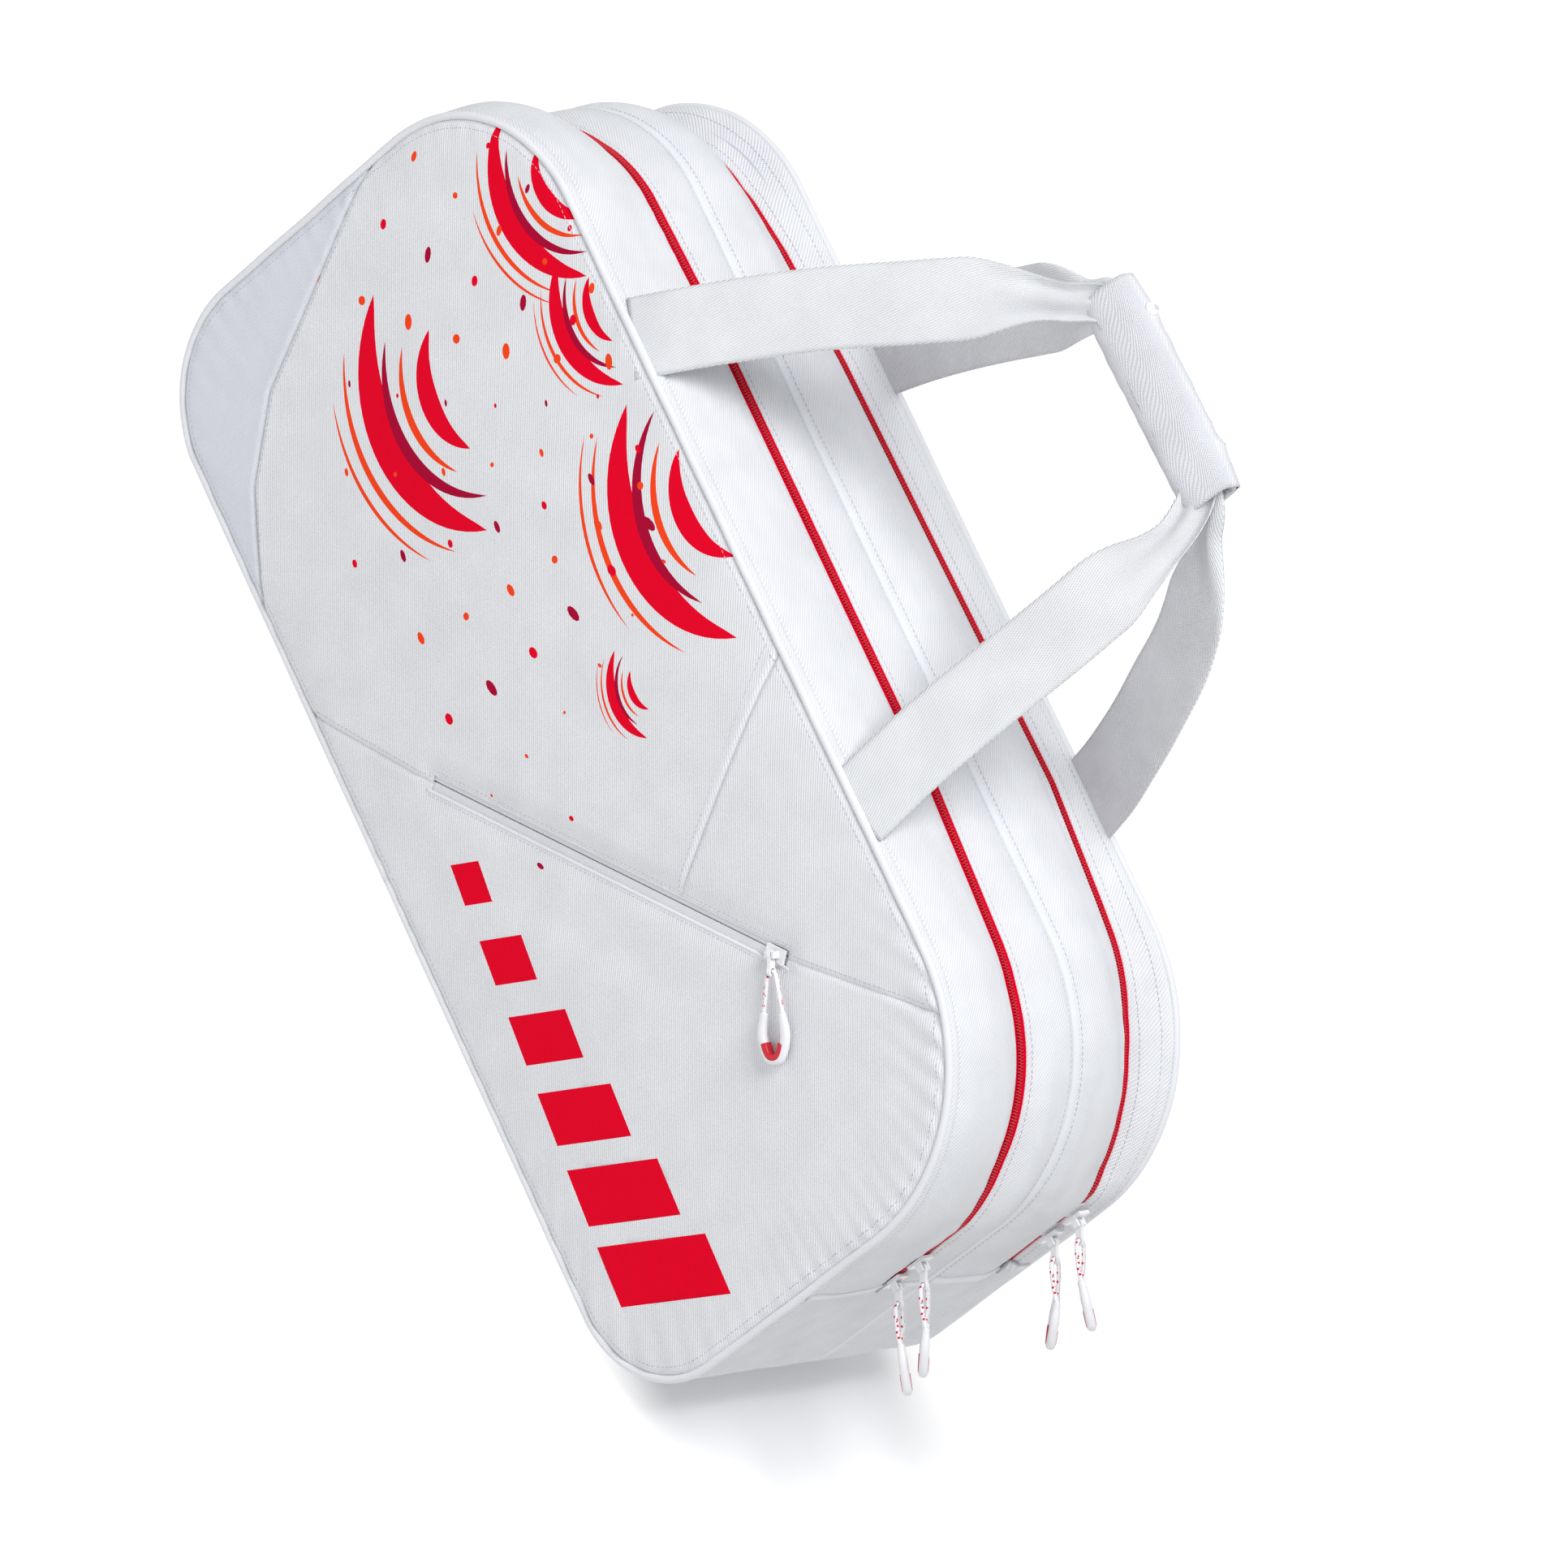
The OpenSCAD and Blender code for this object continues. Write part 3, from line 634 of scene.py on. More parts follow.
def piping():
    s = np.linspace(0, ROUND, 640, endpoint=False)
    point, normal = on_outline(s)
    rows = (
        ("front_piping_cord", FRONT_Y - 1.2, 2.5, 2.2, "front_shell", "front_piping"),
        ("rear_piping_cord", REAR_Y + 1.6, 2.5, 2.2, "rear_shell", "rear_piping"),
        ("middle_piping_cord", MIDDLE_Y, 1.9, 2.0, "core", "middle_piping"),
    )
    for name, y, radius, inset, body, node in rows:
        wobble = 0.25 * ripples(s / 19, 0 * s + y)
        centre = point - normal * (inset + wobble)[:, None] if radius > 2 else point - normal * inset
        path = np.stack([centre[:, 0], y + 0.2 * ripples(s / 31, 0 * s, y), centre[:, 1]], 1)
        keep_off_floor(path, radius + 0.3)
        section = circle(radius, 14) if radius > 2 else rounded(6.2, 2 * radius, 1.4)
        cord = sweep(name, path, section, PIPING, closed=True, up=(0, 1, 0))
        place(cord, body, "white_piping", node)


def seam_stitches():
    s = np.arange(S_LOW + 4, S_HIGH - 4, 1.9)
    rows = (
        (FRONT_Y + 6.6, "front_shell", s), (FRONT_ZIP_Y - ZIP_HALF - 2.4, "front_shell", s),
        (FRONT_ZIP_Y + ZIP_HALF + 2.4, "core", s), (MIDDLE_Y - 5, "core", s),
        (MIDDLE_Y + 5, "core", s), (REAR_ZIP_Y - ZIP_HALF - 1.6, "core", s),
        (REAR_ZIP_Y + ZIP_HALF + 1.6, "rear_shell", s), (REAR_Y - 6, "rear_shell", s),
    )
    for i, (y, body, where) in enumerate(rows):
        path, out = on_gusset(where, y + 0 * where)
        stitches(f"gusset_stitches_{i}", path, out, body)


# ---------- Front panels ----------

POCKET_SEAM = [(-150, -20), (-31, 73), (204, 271), (325, 392)]
TRIANGLE_SEAM = [(37, 378), (133, 211)]
WEDGE_SEAM = [(-400, 290), (-368, 215), (-339, 157), (-304, 87), (-261, 42), (-170, -10)]
WINDOW_A, WINDOW_B = np.array(POCKET_SEAM[1], float), np.array(POCKET_SEAM[2], float)
WINDOW_L = np.linalg.norm(WINDOW_B - WINDOW_A)
WINDOW_DIR = (WINDOW_B - WINDOW_A) / WINDOW_L
WINDOW_UP = np.array([-WINDOW_DIR[1], WINDOW_DIR[0]])
WINDOW_HALF = 5.6
TAPE_Y = cad_box_mm("pocket_zip_tape")[0][1]
PULL_BACK_Y = cad_box_mm("pocket_pull")[1][1]
PANEL_INSET = 4.2
GRID = 5.2


def edge_distance(x, z):
    """Distance inwards from the outline."""
    d = np.minimum(np.minimum(HALF_L - x, HALF_L + x), np.minimum(z, BODY_H - z))
    for (sx, sz), r in RADIUS.items():
        dx = sx * x - (HALF_L - r)
        dz = (r - z) if sz < 0 else z - (BODY_H - r)
        corner = (dx > 0) & (dz > 0)
        d = np.where(corner, r - np.hypot(dx, dz), d)
    return d


def line_distance(x, z, points):
    best = np.full(np.shape(x), 1e9)
    for a, b in zip(points[:-1], points[1:]):
        a, b = np.array(a, float), np.array(b, float)
        t = np.clip(((x - a[0]) * (b - a)[0] + (z - a[1]) * (b - a)[1]) / ((b - a) @ (b - a)), 0, 1)
        best = np.minimum(best, np.hypot(x - a[0] - t * (b - a)[0], z - a[1] - t * (b - a)[1]))
    return best


def along_window(x, z):
    """Distance along the pocket's window, and upwards across it."""
    dx, dz = x - WINDOW_A[0], z - WINDOW_A[1]
    return (dx * WINDOW_DIR[0] + dz * WINDOW_DIR[1], dx * WINDOW_UP[0] + dz * WINDOW_UP[1])


def front_surface(x, z):
    """Depth of the crowned front, in millimetres along Y."""
    x, z = np.asarray(x, float), np.asarray(z, float)
    d = np.maximum(edge_distance(x, z) - PANEL_INSET + 0.4, 0)
    crown = 6.2 * np.clip(1 - (x / 400) ** 2, 0, 1) * np.clip(1 - ((z - 184) / 205) ** 2, 0, 1)
    y = FRONT_Y - 0.6 - 3.4 * (1 - np.exp(-d / 3.2)) - crown * (1 - np.exp(-d / 22))
    seams = np.minimum(line_distance(x, z, TRIANGLE_SEAM), line_distance(x, z, WEDGE_SEAM))
    pocket = line_distance(x, z, POCKET_SEAM)
    y = y + 1.5 * bell(seams, 1.4) + 1.5 * bell(pocket, 1.9)
    y = y - 0.5 * bell(seams - 3.5, 2.5)
    # the seam allowance lies under the pocket's upper side, and the zip pulls its edge in
    t, up = along_window(x, z)
    by_zip = smooth((t + 12) / 12) * smooth((WINDOW_L + 12 - t) / 12)
    y = y + by_zip * (0.9 * bell(up - WINDOW_HALF, 2.2) + 0.9 * bell(up + WINDOW_HALF, 2.2))
    # short gathers along the piping, strongest where the outline bends at the bottom end
    ring = np.arctan2((z - 184) * 1.6, x)
    arc = ring * 300
    gather = 0.4 + 1.7 * bell(x - 335, 80) + 0.7 * bell(x + 340, 60)
    y = y - gather * np.sin(arc / 2.9 + 2.2 * ripples(x / 70, z / 70)) * np.exp(-d / 24) * \
        smooth(d / 4) * (0.6 + 0.4 * ripples(x / 38, z / 38, 4.0))
    y = y - 1.0 * ripples(x / 75, z / 60, 1.0) * smooth(d / 30)
    y = y - 0.45 * np.sin(t / 8 + ripples(t / 40, up / 30)) * bell(up + 16, 12) * by_zip
    # the cloth stays flat under the pocket's pull and beside its zip
    under_pull = np.exp(-(np.maximum(np.abs(up + 28) - 14, 0) / 16) ** 2) * by_zip
    y = y * (1 - under_pull) + np.maximum(y, PULL_BACK_Y + 1.1) * under_pull
    beside = np.exp(-(np.maximum(np.abs(up) - 6, 0) / 8) ** 2) * by_zip
    return y * (1 - beside) + np.maximum(y, TAPE_Y - 1.5) * beside


def crescent(cx, cz, radius, start, turn, fat, n=26):
    """A tapered arc: its outer edge is a circle and its middle is fat."""
    t = np.linspace(0, 1, n)
    a = np.radians(start + turn * t)
    inner = radius - fat * np.sin(math.pi * t) ** 0.75
    outer_edge = np.stack([cx + radius * np.cos(a), cz + radius * np.sin(a)], 1)
    inner_edge = np.stack([cx + inner * np.cos(a), cz + inner * np.sin(a)], 1)
    return np.r_[outer_edge, inner_edge[-2:0:-1]]


def dot(cx, cz, radius, stretch=1.0, turn=0.0, n=10):
    a = np.arange(n) * 2 * math.pi / n
    x, z = radius * stretch * np.cos(a), radius * np.sin(a)
    return np.stack([cx + x * math.cos(turn) - z * math.sin(turn),
                     cz + x * math.sin(turn) + z * math.cos(turn)], 1)


# One ripple: how far out each arc lies, how fat it is, how far it turns, and its colour
RIPPLE = ((1.0, 0.27, 132, 1), (0.78, 0.09, 120, 2), (0.62, 0.06, 100, 3), (0.46, 0.17, 136, 1),
          (1.14, 0.05, 92, 3), (1.25, 0.03, 66, 3))
# Where the ripples lie: centre, radius and the direction they open away from
RIPPLES = ((-222, 238, 94, 272), (-60, 378, 90, 264), (-286, 376, 66, 284), (-200, 362, 50, 268),
           (10, 264, 32, 262))


def printed_shapes():
    """Plain ripples of tapered arcs with dots between them, and a row of slanted bars.
    Each is (outline, material index): 1 red, 2 crimson, 3 orange."""
    shapes = []
    for number, (cx, cz, size, middle) in enumerate(RIPPLES):
        for k, (reach, fat, turn, ink) in enumerate(RIPPLE):
            swing = 9 * math.sin(1.7 * k + 2.3 * number)
            shapes.append((crescent(cx, cz, size * reach, middle + swing - turn / 2, turn, size * fat),
                           ink))
    for k in range(64):
        radius = 108 + 4.1 * k
        angle = math.radians(206 + (k * 67) % 96)
        x, z = -120 + radius * math.cos(angle), 446 + radius * math.sin(angle)
        size = 1.1 + 1.9 * ((k * 7) % 5) / 4
        shapes.append((dot(x, z, size, 1 + 0.35 * (k % 4), angle + 1.57), (3, 1, 3, 2)[k % 4]))
    for k in range(6):
        left, low, tall, wide = 20 + 51 * k, 60 - 4.6 * k, 22 + 12.5 * k, 27 + 2.6 * k
        lean = 0.42 * tall
        bar = [(left, low), (left + wide, low - 3), (left + wide + lean, low - 3 + tall),
               (left + lean, low + tall)]
        shapes.append((np.array(bar, float), 1))
    return shapes


def inside(points, polygon):
    """Which points lie in a polygon, by the crossing rule."""
    x, z = points[:, 0], points[:, 1]
    result = np.zeros(len(points), bool)
    for (x0, z0), (x1, z1) in zip(polygon, np.roll(polygon, -1, axis=0)):
        if z0 == z1:
            continue
        hit = (z0 > z) != (z1 > z)
        result ^= hit & (x < (x1 - x0) * (z - z0) / (z1 - z0) + x0)
    return result


def triangulated(border, loops, lines, spacing, rows=()):
    """Triangles over a region, with every loop and line kept as edges."""
    verts, edges = [], []

    def put(points, closed):
        first = len(verts)
        verts.extend(map(tuple, points))
        last = len(points) if closed else len(points) - 1
        edges.extend((first + i, first + (i + 1) % len(points)) for i in range(last))

    put(border, True)
    for loop in loops:
        put(loop, True)
    for line in lines:
        line = np.array(line, float)
        fine = np.concatenate([
            np.linspace(a, b, max(int(np.linalg.norm(b - a) / 5), 2))[:-1]
            for a, b in zip(line[:-1], line[1:])] + [line[-1:]])
        put(fine, False)
    fixed = np.array(verts)
    nx, nz = int(2 * HALF_L / spacing) + 2, int(BODY_H / (spacing * 0.866)) + 2
    i, j = np.meshgrid(np.arange(nx), np.arange(nz))
    x = -HALF_L + spacing * (i + 0.5 * (j % 2)).ravel()
    z = (spacing * 0.866 * j).ravel()
    extra = np.stack([x, z], 1)
    for row in rows:
        extra = np.r_[extra, row]
    inner = edge_distance(extra[:, 0], extra[:, 1]) > PANEL_INSET + 1.0
    extra = extra[inner]
    near = np.full(len(extra), 1e9)
    for start in range(0, len(fixed), 200):
        part = fixed[start:start + 200]
        gap = np.hypot(extra[:, None, 0] - part[None, :, 0], extra[:, None, 1] - part[None, :, 1])
        near = np.minimum(near, gap.min(1))
    extra = extra[near > 1.1]
    everything = [Vector(p) for p in np.r_[fixed, extra].tolist()]
    out, _, faces, _, _, _ = delaunay_2d_cdt(everything, edges, [], 0, 1e-3)
    return np.array([tuple(v) for v in out]), np.array([f for f in faces if len(f) == 3])


def below_pocket(x, z):
    return z < np.interp(x, *np.array(POCKET_SEAM, float).T)


def beyond_triangle(x, z):
    (x0, z0), (x1, z1) = TRIANGLE_SEAM
    return x > x0 + (x1 - x0) * (z - z0) / (z1 - z0)


def beyond_wedge(x, z):
    seam = np.array(WEDGE_SEAM, float)
    return z < np.interp(x, seam[:, 0], seam[:, 1])


def front_panels():
    s = np.linspace(0, ROUND, 560, endpoint=False)
    point, normal = on_outline(s)
    border = point - normal * PANEL_INSET
    ring, ring_normal = on_outline(np.linspace(0, ROUND, 500, endpoint=False))
    rows = [ring - ring_normal * (PANEL_INSET + d) for d in (1.5, 3.2, 5.4, 8.2)]
    for line in (POCKET_SEAM, TRIANGLE_SEAM, WEDGE_SEAM):
        line = np.array(line, float)
        for a, b in zip(line[:-1], line[1:]):
            step = (b - a) / np.linalg.norm(b - a)
            side = np.array([-step[1], step[0]])
            run = np.arange(0, np.linalg.norm(b - a), 4.0)[:, None]
            for off in (1.4, 2.8, 4.6):
                rows += [a + run * step + side * off, a + run * step - side * off]
    for off in (WINDOW_HALF + 1.6, WINDOW_HALF + 3.4, -WINDOW_HALF - 1.6, -WINDOW_HALF - 3.4):
        run = np.arange(0, WINDOW_L, 4.0)[:, None]
        rows.append(WINDOW_A + run * WINDOW_DIR + off * WINDOW_UP)
    shapes = printed_shapes()
    window = np.array([
        WINDOW_A + t * WINDOW_DIR + up * WINDOW_HALF * WINDOW_UP
        for t, up in ([(t, -1) for t in np.linspace(0, WINDOW_L, 60)]
                      + [(t, 1) for t in np.linspace(WINDOW_L, 0, 60)])
    ])
    loops = [shape for shape, _ in shapes] + [window]
    verts, faces = triangulated(
        border, loops, [POCKET_SEAM, TRIANGLE_SEAM, WEDGE_SEAM], GRID, rows)
    middle = verts[faces].mean(1)
    x, z = middle[:, 0], middle[:, 1]
    keep = (edge_distance(x, z) > PANEL_INSET - 0.02) & ~inside(middle, window)
    ink = np.zeros(len(faces), int)
    for shape, colour in shapes:
        ink[inside(middle, shape)] = colour
    pocket, wedge = below_pocket(x, z), beyond_wedge(x, z)
    pocket &= ~wedge
    triangle = beyond_triangle(x, z) & ~pocket & ~wedge
    main = ~pocket & ~wedge & ~triangle
    ink[(triangle | wedge)] = 0
    depth = front_surface(verts[:, 0], verts[:, 1])
    panels = (
        ("main", main, FRONT_TWILL, "front_panel_main"),
        ("wedge", wedge, SHADED_TWILL, "front_panel_wedge"),
        ("triangle", triangle, FRONT_TWILL, "front_panel_triangle"),
        ("pocket", pocket, FRONT_TWILL, "front_pocket_panel"),
    )
    for name, mask, cloth, node in panels:
        mine = faces[mask & keep]
        used = np.unique(mine)
        number = np.full(len(verts), -1)
        number[used] = np.arange(len(used))
        flat = verts[used]
        front = np.stack([flat[:, 0], depth[used], flat[:, 1]], 1)
        back = front + [0, 2.2, 0]
        tri = number[mine]
        sides = {}
        for t in tri:
            for a, b in ((t[0], t[1]), (t[1], t[2]), (t[2], t[0])):
                if (b, a) in sides:
                    del sides[(b, a)]
                else:
                    sides[(a, b)] = True
        n = len(used)
        rim = [(b, a, a + n, b + n) for a, b in sides]
        everything = [list(f) for f in tri] + [list(f[::-1] + n) for f in tri] + [list(r) for r in rim]
        slots = np.r_[ink[mask & keep], np.zeros(len(tri) + len(rim), int)]
        made = piece(f"front_{name}_cloth", np.r_[front, back], everything, np.r_[flat, flat],
                     [cloth, PRINT_RED, PRINT_DARK, PRINT_ORANGE], slots)
        place(made, "front_shell", "white_twill", node)
    seam_rows()


def on_front(points, lift=0.0):
    points = np.asarray(points, float)
    return np.stack([points[:, 0], front_surface(points[:, 0], points[:, 1]) - lift,
                     points[:, 1]], 1)


def seam_rows():
    """Top stitching beside the front's seams and along its piping."""
    out = np.array([[0.0, -1.0, 0.0]])
    s = np.arange(0, ROUND, 2.0)
    point, normal = on_outline(s)
    ring = on_front(point - normal * (PANEL_INSET + 5.5))
    stitches("front_edge_stitches", ring, np.repeat(out, len(ring), 0), "front_shell", closed=True)
    lines = (
        ("triangle", [(37, 364), (129, 218)], -1),
        ("wedge_a", [(-366, 212), (-339, 157), (-304, 87), (-261, 42), (-215, 13)], 1),
        ("pocket_low", [(-120, 4), (-31, 73)], 1),
        ("pocket_high", [(204, 271), (300, 367)], 1),
    )
    for name, line, way in lines:
        line = np.array(line, float)
        fine = np.concatenate([np.linspace(a, b, 40) for a, b in zip(line[:-1], line[1:])])
        step = np.gradient(fine, axis=0)
        step /= np.linalg.norm(step, axis=1)[:, None] + 1e-9
        side = np.stack([-step[:, 1], step[:, 0]], 1)
        flat = fine + side * 3.4 * way
        flat = flat[edge_distance(flat[:, 0], flat[:, 1]) > 9]
        path = on_front(flat)
        stitches(f"{name}_stitches", path, np.repeat(out, len(path), 0), "front_shell")
    run = np.linspace(-2, WINDOW_L + 2, 160)[:, None]
    for way in (-1, 1):
        flat = WINDOW_A + run * WINDOW_DIR + way * (WINDOW_HALF + 2.6) * WINDOW_UP
        path = on_front(flat)
        stitches(f"window_stitches_{way + 1}", path, np.repeat(out, len(path), 0), "front_shell")


def pocket_zip():
    """White zip in the slanted window: two tapes, two rows of teeth, and a bound lower lip."""
    t = np.linspace(-1, WINDOW_L + 1, 150)[:, None]
    for way, name in ((-1, "low"), (1, "high")):
        across = 1.1 + way * np.linspace(0.45, WINDOW_HALF + 2.6 - 1.1 * way, 7)[None]
        x = WINDOW_A[0] + t * WINDOW_DIR[0] + across * WINDOW_UP[0]
        z = WINDOW_A[1] + t * WINDOW_DIR[1] + across * WINDOW_UP[1]
        outer = np.stack([x, TAPE_Y + 0 * x, z], -1)
        inner = outer + [0, 0.8, 0]
        uv = pairs(t + 0 * across, across + 0 * t)
        tape = thick_sheet(f"pocket_tape_{name}", outer, inner, uv, WHITE_TAPE)
        place(tape, "front_shell", "white_zip", *(["pocket_zip_tape"] if way > 0 else []))
        at = np.arange(2 + (0.9 if way > 0 else 0), WINDOW_L - 2, 1.8)
        spot = WINDOW_A + at[:, None] * WINDOW_DIR + (1.1 + way * 0.8) * WINDOW_UP
        centre = np.stack([spot[:, 0], TAPE_Y + 1.6 + 0 * at, spot[:, 1]], 1)
        along = np.tile([WINDOW_UP[0], 0, WINDOW_UP[1]], (len(at), 1))
        out = np.tile([0.0, -1.0, 0.0], (len(at), 1))
        teeth = beads(f"pocket_teeth_{name}", centre, along, out, (2.8, 1.2, 1.5), WHITE_COIL)
        place(teeth, "front_shell", "white_zip", *(["pocket_zip_teeth"] if way > 0 else []))
    for way, name, fat in ((-1, "low", 1.2), (1, "high", 0.8)):
        run = np.linspace(-3, WINDOW_L + 3, 150)[:, None]
        flat = WINDOW_A + run * WINDOW_DIR + way * (WINDOW_HALF + 0.1) * WINDOW_UP
        path = on_front(WINDOW_A + run * WINDOW_DIR + way * (WINDOW_HALF + 2.5) * WINDOW_UP)
        path[:, 0], path[:, 2] = flat[:, 0], flat[:, 1]
        path[:, 1] += 0.9
        lip = sweep(f"pocket_lip_{name}", path, circle(fat, 10), PIPING, up=(0, 1, 0))
        place(lip, "front_shell", "white_twill")


# ---------- Back panel, boards and divider ----------

def panel_grid(name, surface, thickness, inset, material, body, slot_name, *nodes, spacing=9.0):
    """A sheet that fills the outline, at a depth given by a function of x and z."""
    s = np.linspace(0, ROUND, 360, endpoint=False)
    point, normal = on_outline(s)
    border = point - normal * inset
    rows = [point - normal * (inset + d) for d in (2.2, 5.0, 9.0)]
    verts, faces = triangulated(border, [], [], spacing, rows)
    middle = verts[faces].mean(1)
    faces = faces[edge_distance(middle[:, 0], middle[:, 1]) > inset - 0.05]
    y = surface(verts[:, 0], verts[:, 1])
    outer = np.stack([verts[:, 0], y, verts[:, 1]], 1)
    inner = np.stack([verts[:, 0], y - thickness, verts[:, 1]], 1)
    n, m = len(verts), len(border)
    rim = [(i, (i + 1) % m, (i + 1) % m + n, i + n) for i in range(m)]
    everything = [list(f) for f in faces] + [list(f[::-1] + n) for f in faces] + rim
    made = piece(name, np.r_[outer, inner], everything, np.r_[verts, verts], material)
    return place(made, body, slot_name, *nodes)


def back_surface(x, z):
    """Padded back: three quilted cushions that run along the bag, between sewn channels."""
    d = np.maximum(edge_distance(x, z) - PANEL_INSET, 0)
    field = smooth((d - 14) / 16) * smooth((330 - np.abs(x)) / 20)
    cushion = 0
    for middle, half in ((90, 38), (184, 46), (278, 38)):
        across = np.clip(1 - ((z - middle) / half) ** 2, 0, 1)
        cross = 0.55 + 0.45 * np.abs(np.sin((x + 20) * math.pi / 105)) ** 0.6
        cushion = cushion + across ** 0.6 * cross
    return (REAR_Y + 0.4 + 2.6 * (1 - np.exp(-d / 3)) + 2.6 * field * cushion
            + 0.35 * ripples(x / 60, z / 50) * smooth(d / 20))


def boards():
    panel_grid("back_cloth", back_surface, 2.0, PANEL_INSET, TWILL, "rear_shell", "white_twill",
               "back_panel", spacing=5.5)
    rows = (
        ("front_lining", "front_foam_board", "front_shell", 7.0),
        ("back_lining", "back_foam_board", "rear_shell", 14.0),
        ("divider_lining", "divider_panel", "core", 7.0),
    )
    for name, node, body, inset in rows:
        low, high = cad_box_mm(node)

        def surface(x, z, top=high[1], inset=inset):
            d = np.maximum(edge_distance(x, z) - inset, 0)
            along = np.abs(np.sin(x * math.pi / 95)) ** 0.5
            quilt = along * np.abs(np.sin((z - 4) * math.pi / 90)) ** 0.5
            return top - 1.6 + 1.2 * quilt * smooth(d / 12)

        panel_grid(name, surface, high[1] - low[1] - 0.4, inset, LINING, body, "foam", node)
    s = np.linspace(0, ROUND, 420, endpoint=False)
    point, normal = on_outline(s)
    ring = point - normal * (PANEL_INSET + 5.5)
    y = back_surface(ring[:, 0], ring[:, 1])
    path = np.stack([ring[:, 0], y, ring[:, 1]], 1)
    stitches("back_edge_stitches", path, np.tile([0.0, 1.0, 0.0], (len(path), 1)), "rear_shell",
             closed=True)


# ---------- Carry handles ----------

GRIP_LOW, GRIP_HIGH = cad_box_mm("grip_pad")
GRIP_Z = (cad_box_mm("front_handle_webbing")[1][2] + GRIP_LOW[2]) / 2
GRIP_MIDDLE = (GRIP_LOW[0] + GRIP_HIGH[0]) / 2


def ribbon(name, centre, width, fold, plane, thickness, material=WEBBING):
    """Webbing laid along a centre line in a leaning plane, gathered into a fold.
    centre holds (x, s), width and fold are one number for each point, plane gives the
    3-D place of (x, s) and the plane's outward normal."""
    centre = np.asarray(centre, float)
    step = np.gradient(centre, axis=0)
    step /= np.linalg.norm(step, axis=1)[:, None]
    side = np.stack([-step[:, 1], step[:, 0]], 1)
    u = np.linspace(-0.5, 0.5, 17)[None]
    flat = centre[:, None] + (u * width[:, None])[..., None] * side[:, None]
    normal = plane(0, 1)[1]
    run = np.r_[0, np.cumsum(np.linalg.norm(np.diff(centre, axis=0), axis=1))][:, None]
    push = fold[:, None] * (np.cos(2 * math.pi * u * 1.5) * 0.55 + 3.0 * u * u - 0.35)
    calm = smooth((centre[:, 1:] + 4) / 30)
    push = push + calm * (0.6 * ripples(run / 24, u * 3) + 1.5 * ripples(run / 60 + 1, u * 0.6))
    spots = plane(flat[..., 0], flat[..., 1])[0] + push[..., None] * normal
    selvage = 1 - 0.35 * (np.abs(u) > 0.47)
    half = thickness / 2 * selvage[..., None]
    outer, inner = spots + half * normal, spots - half * normal
    uv = pairs(run + 0 * u, u * 52 + 0 * run)
    return thick_sheet(name, outer, inner, uv, material)


def leg_plane(foot_y, top_y, sign):
    """Maps (x, s) onto the plane from the seam to the grip."""
    rise = GRIP_Z - BODY_H
    length = math.hypot(rise, top_y - foot_y)
    up = np.array([0.0, (top_y - foot_y) / length, rise / length])
    normal = np.array([0.0, -rise / length, (top_y - foot_y) / length]) * sign

    def plane(x, s):
        x, s = np.broadcast_arrays(np.asarray(x, float), np.asarray(s, float))
        spot = np.stack([x, 0 * x, 0 * x], -1) + s[..., None] * up
        spot = spot + np.array([0.0, foot_y, BODY_H])
        return spot, normal

    return plane, length


def handles():
    low_x, high_x = GRIP_LOW[0], GRIP_HIGH[0]
    loops = (
        ("front", "front_handle", "front_shell", FRONT_Y + 1.8, 6.0, 1, "front_handle_webbing",
         [(-174, -6), (-152, 55), (-130, 108), (-108, 152), (-84, 200), (-68, 228), (-55, 246)],
         [(154, -6), (137, 60), (129, 105), (121, 160), (113, 205), (110, 228), (105, 246)]),
        ("rear", "rear_handle", "rear_shell", REAR_Y - 1.2, 13.0, -1, "rear_handle_webbing",
         [(-153, -6), (-134, 50), (-112, 108), (-88, 165), (-70, 205), (-58, 226)],
         [(165, -6), (164, 45), (156, 108), (142, 168), (121, 213), (105, 234)]),
    )
    for name, body, shell, foot_y, top_y, sign, node, upper, lower in loops:
        plane, top = leg_plane(foot_y, top_y, sign)
        for part, line, end_x, way in (("upper", upper, low_x, 1), ("lower", lower, high_x, -1)):
            route = line + [(end_x + way * 8, top - 2), (end_x + way * 28, top),
                            (GRIP_MIDDLE + way, top)]
            centre = curve(route, 120)
            gather = smooth((centre[:, 1] - 188) / 58)
            width = 51 + 4 * (sign < 0) - 27 * gather
            fold = 6.5 * gather * (1 - 0.75 * smooth((way * (centre[:, 0] - end_x) + 4) / 12))
            leg = ribbon(f"{name}_{part}_leg", centre, width, fold, plane, 2.2)
            if part == "upper":
                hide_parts(node)
            foot = plane(0, -6)[0] * MM
            root = plane(0, 16)[0] * MM
            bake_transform(leg)


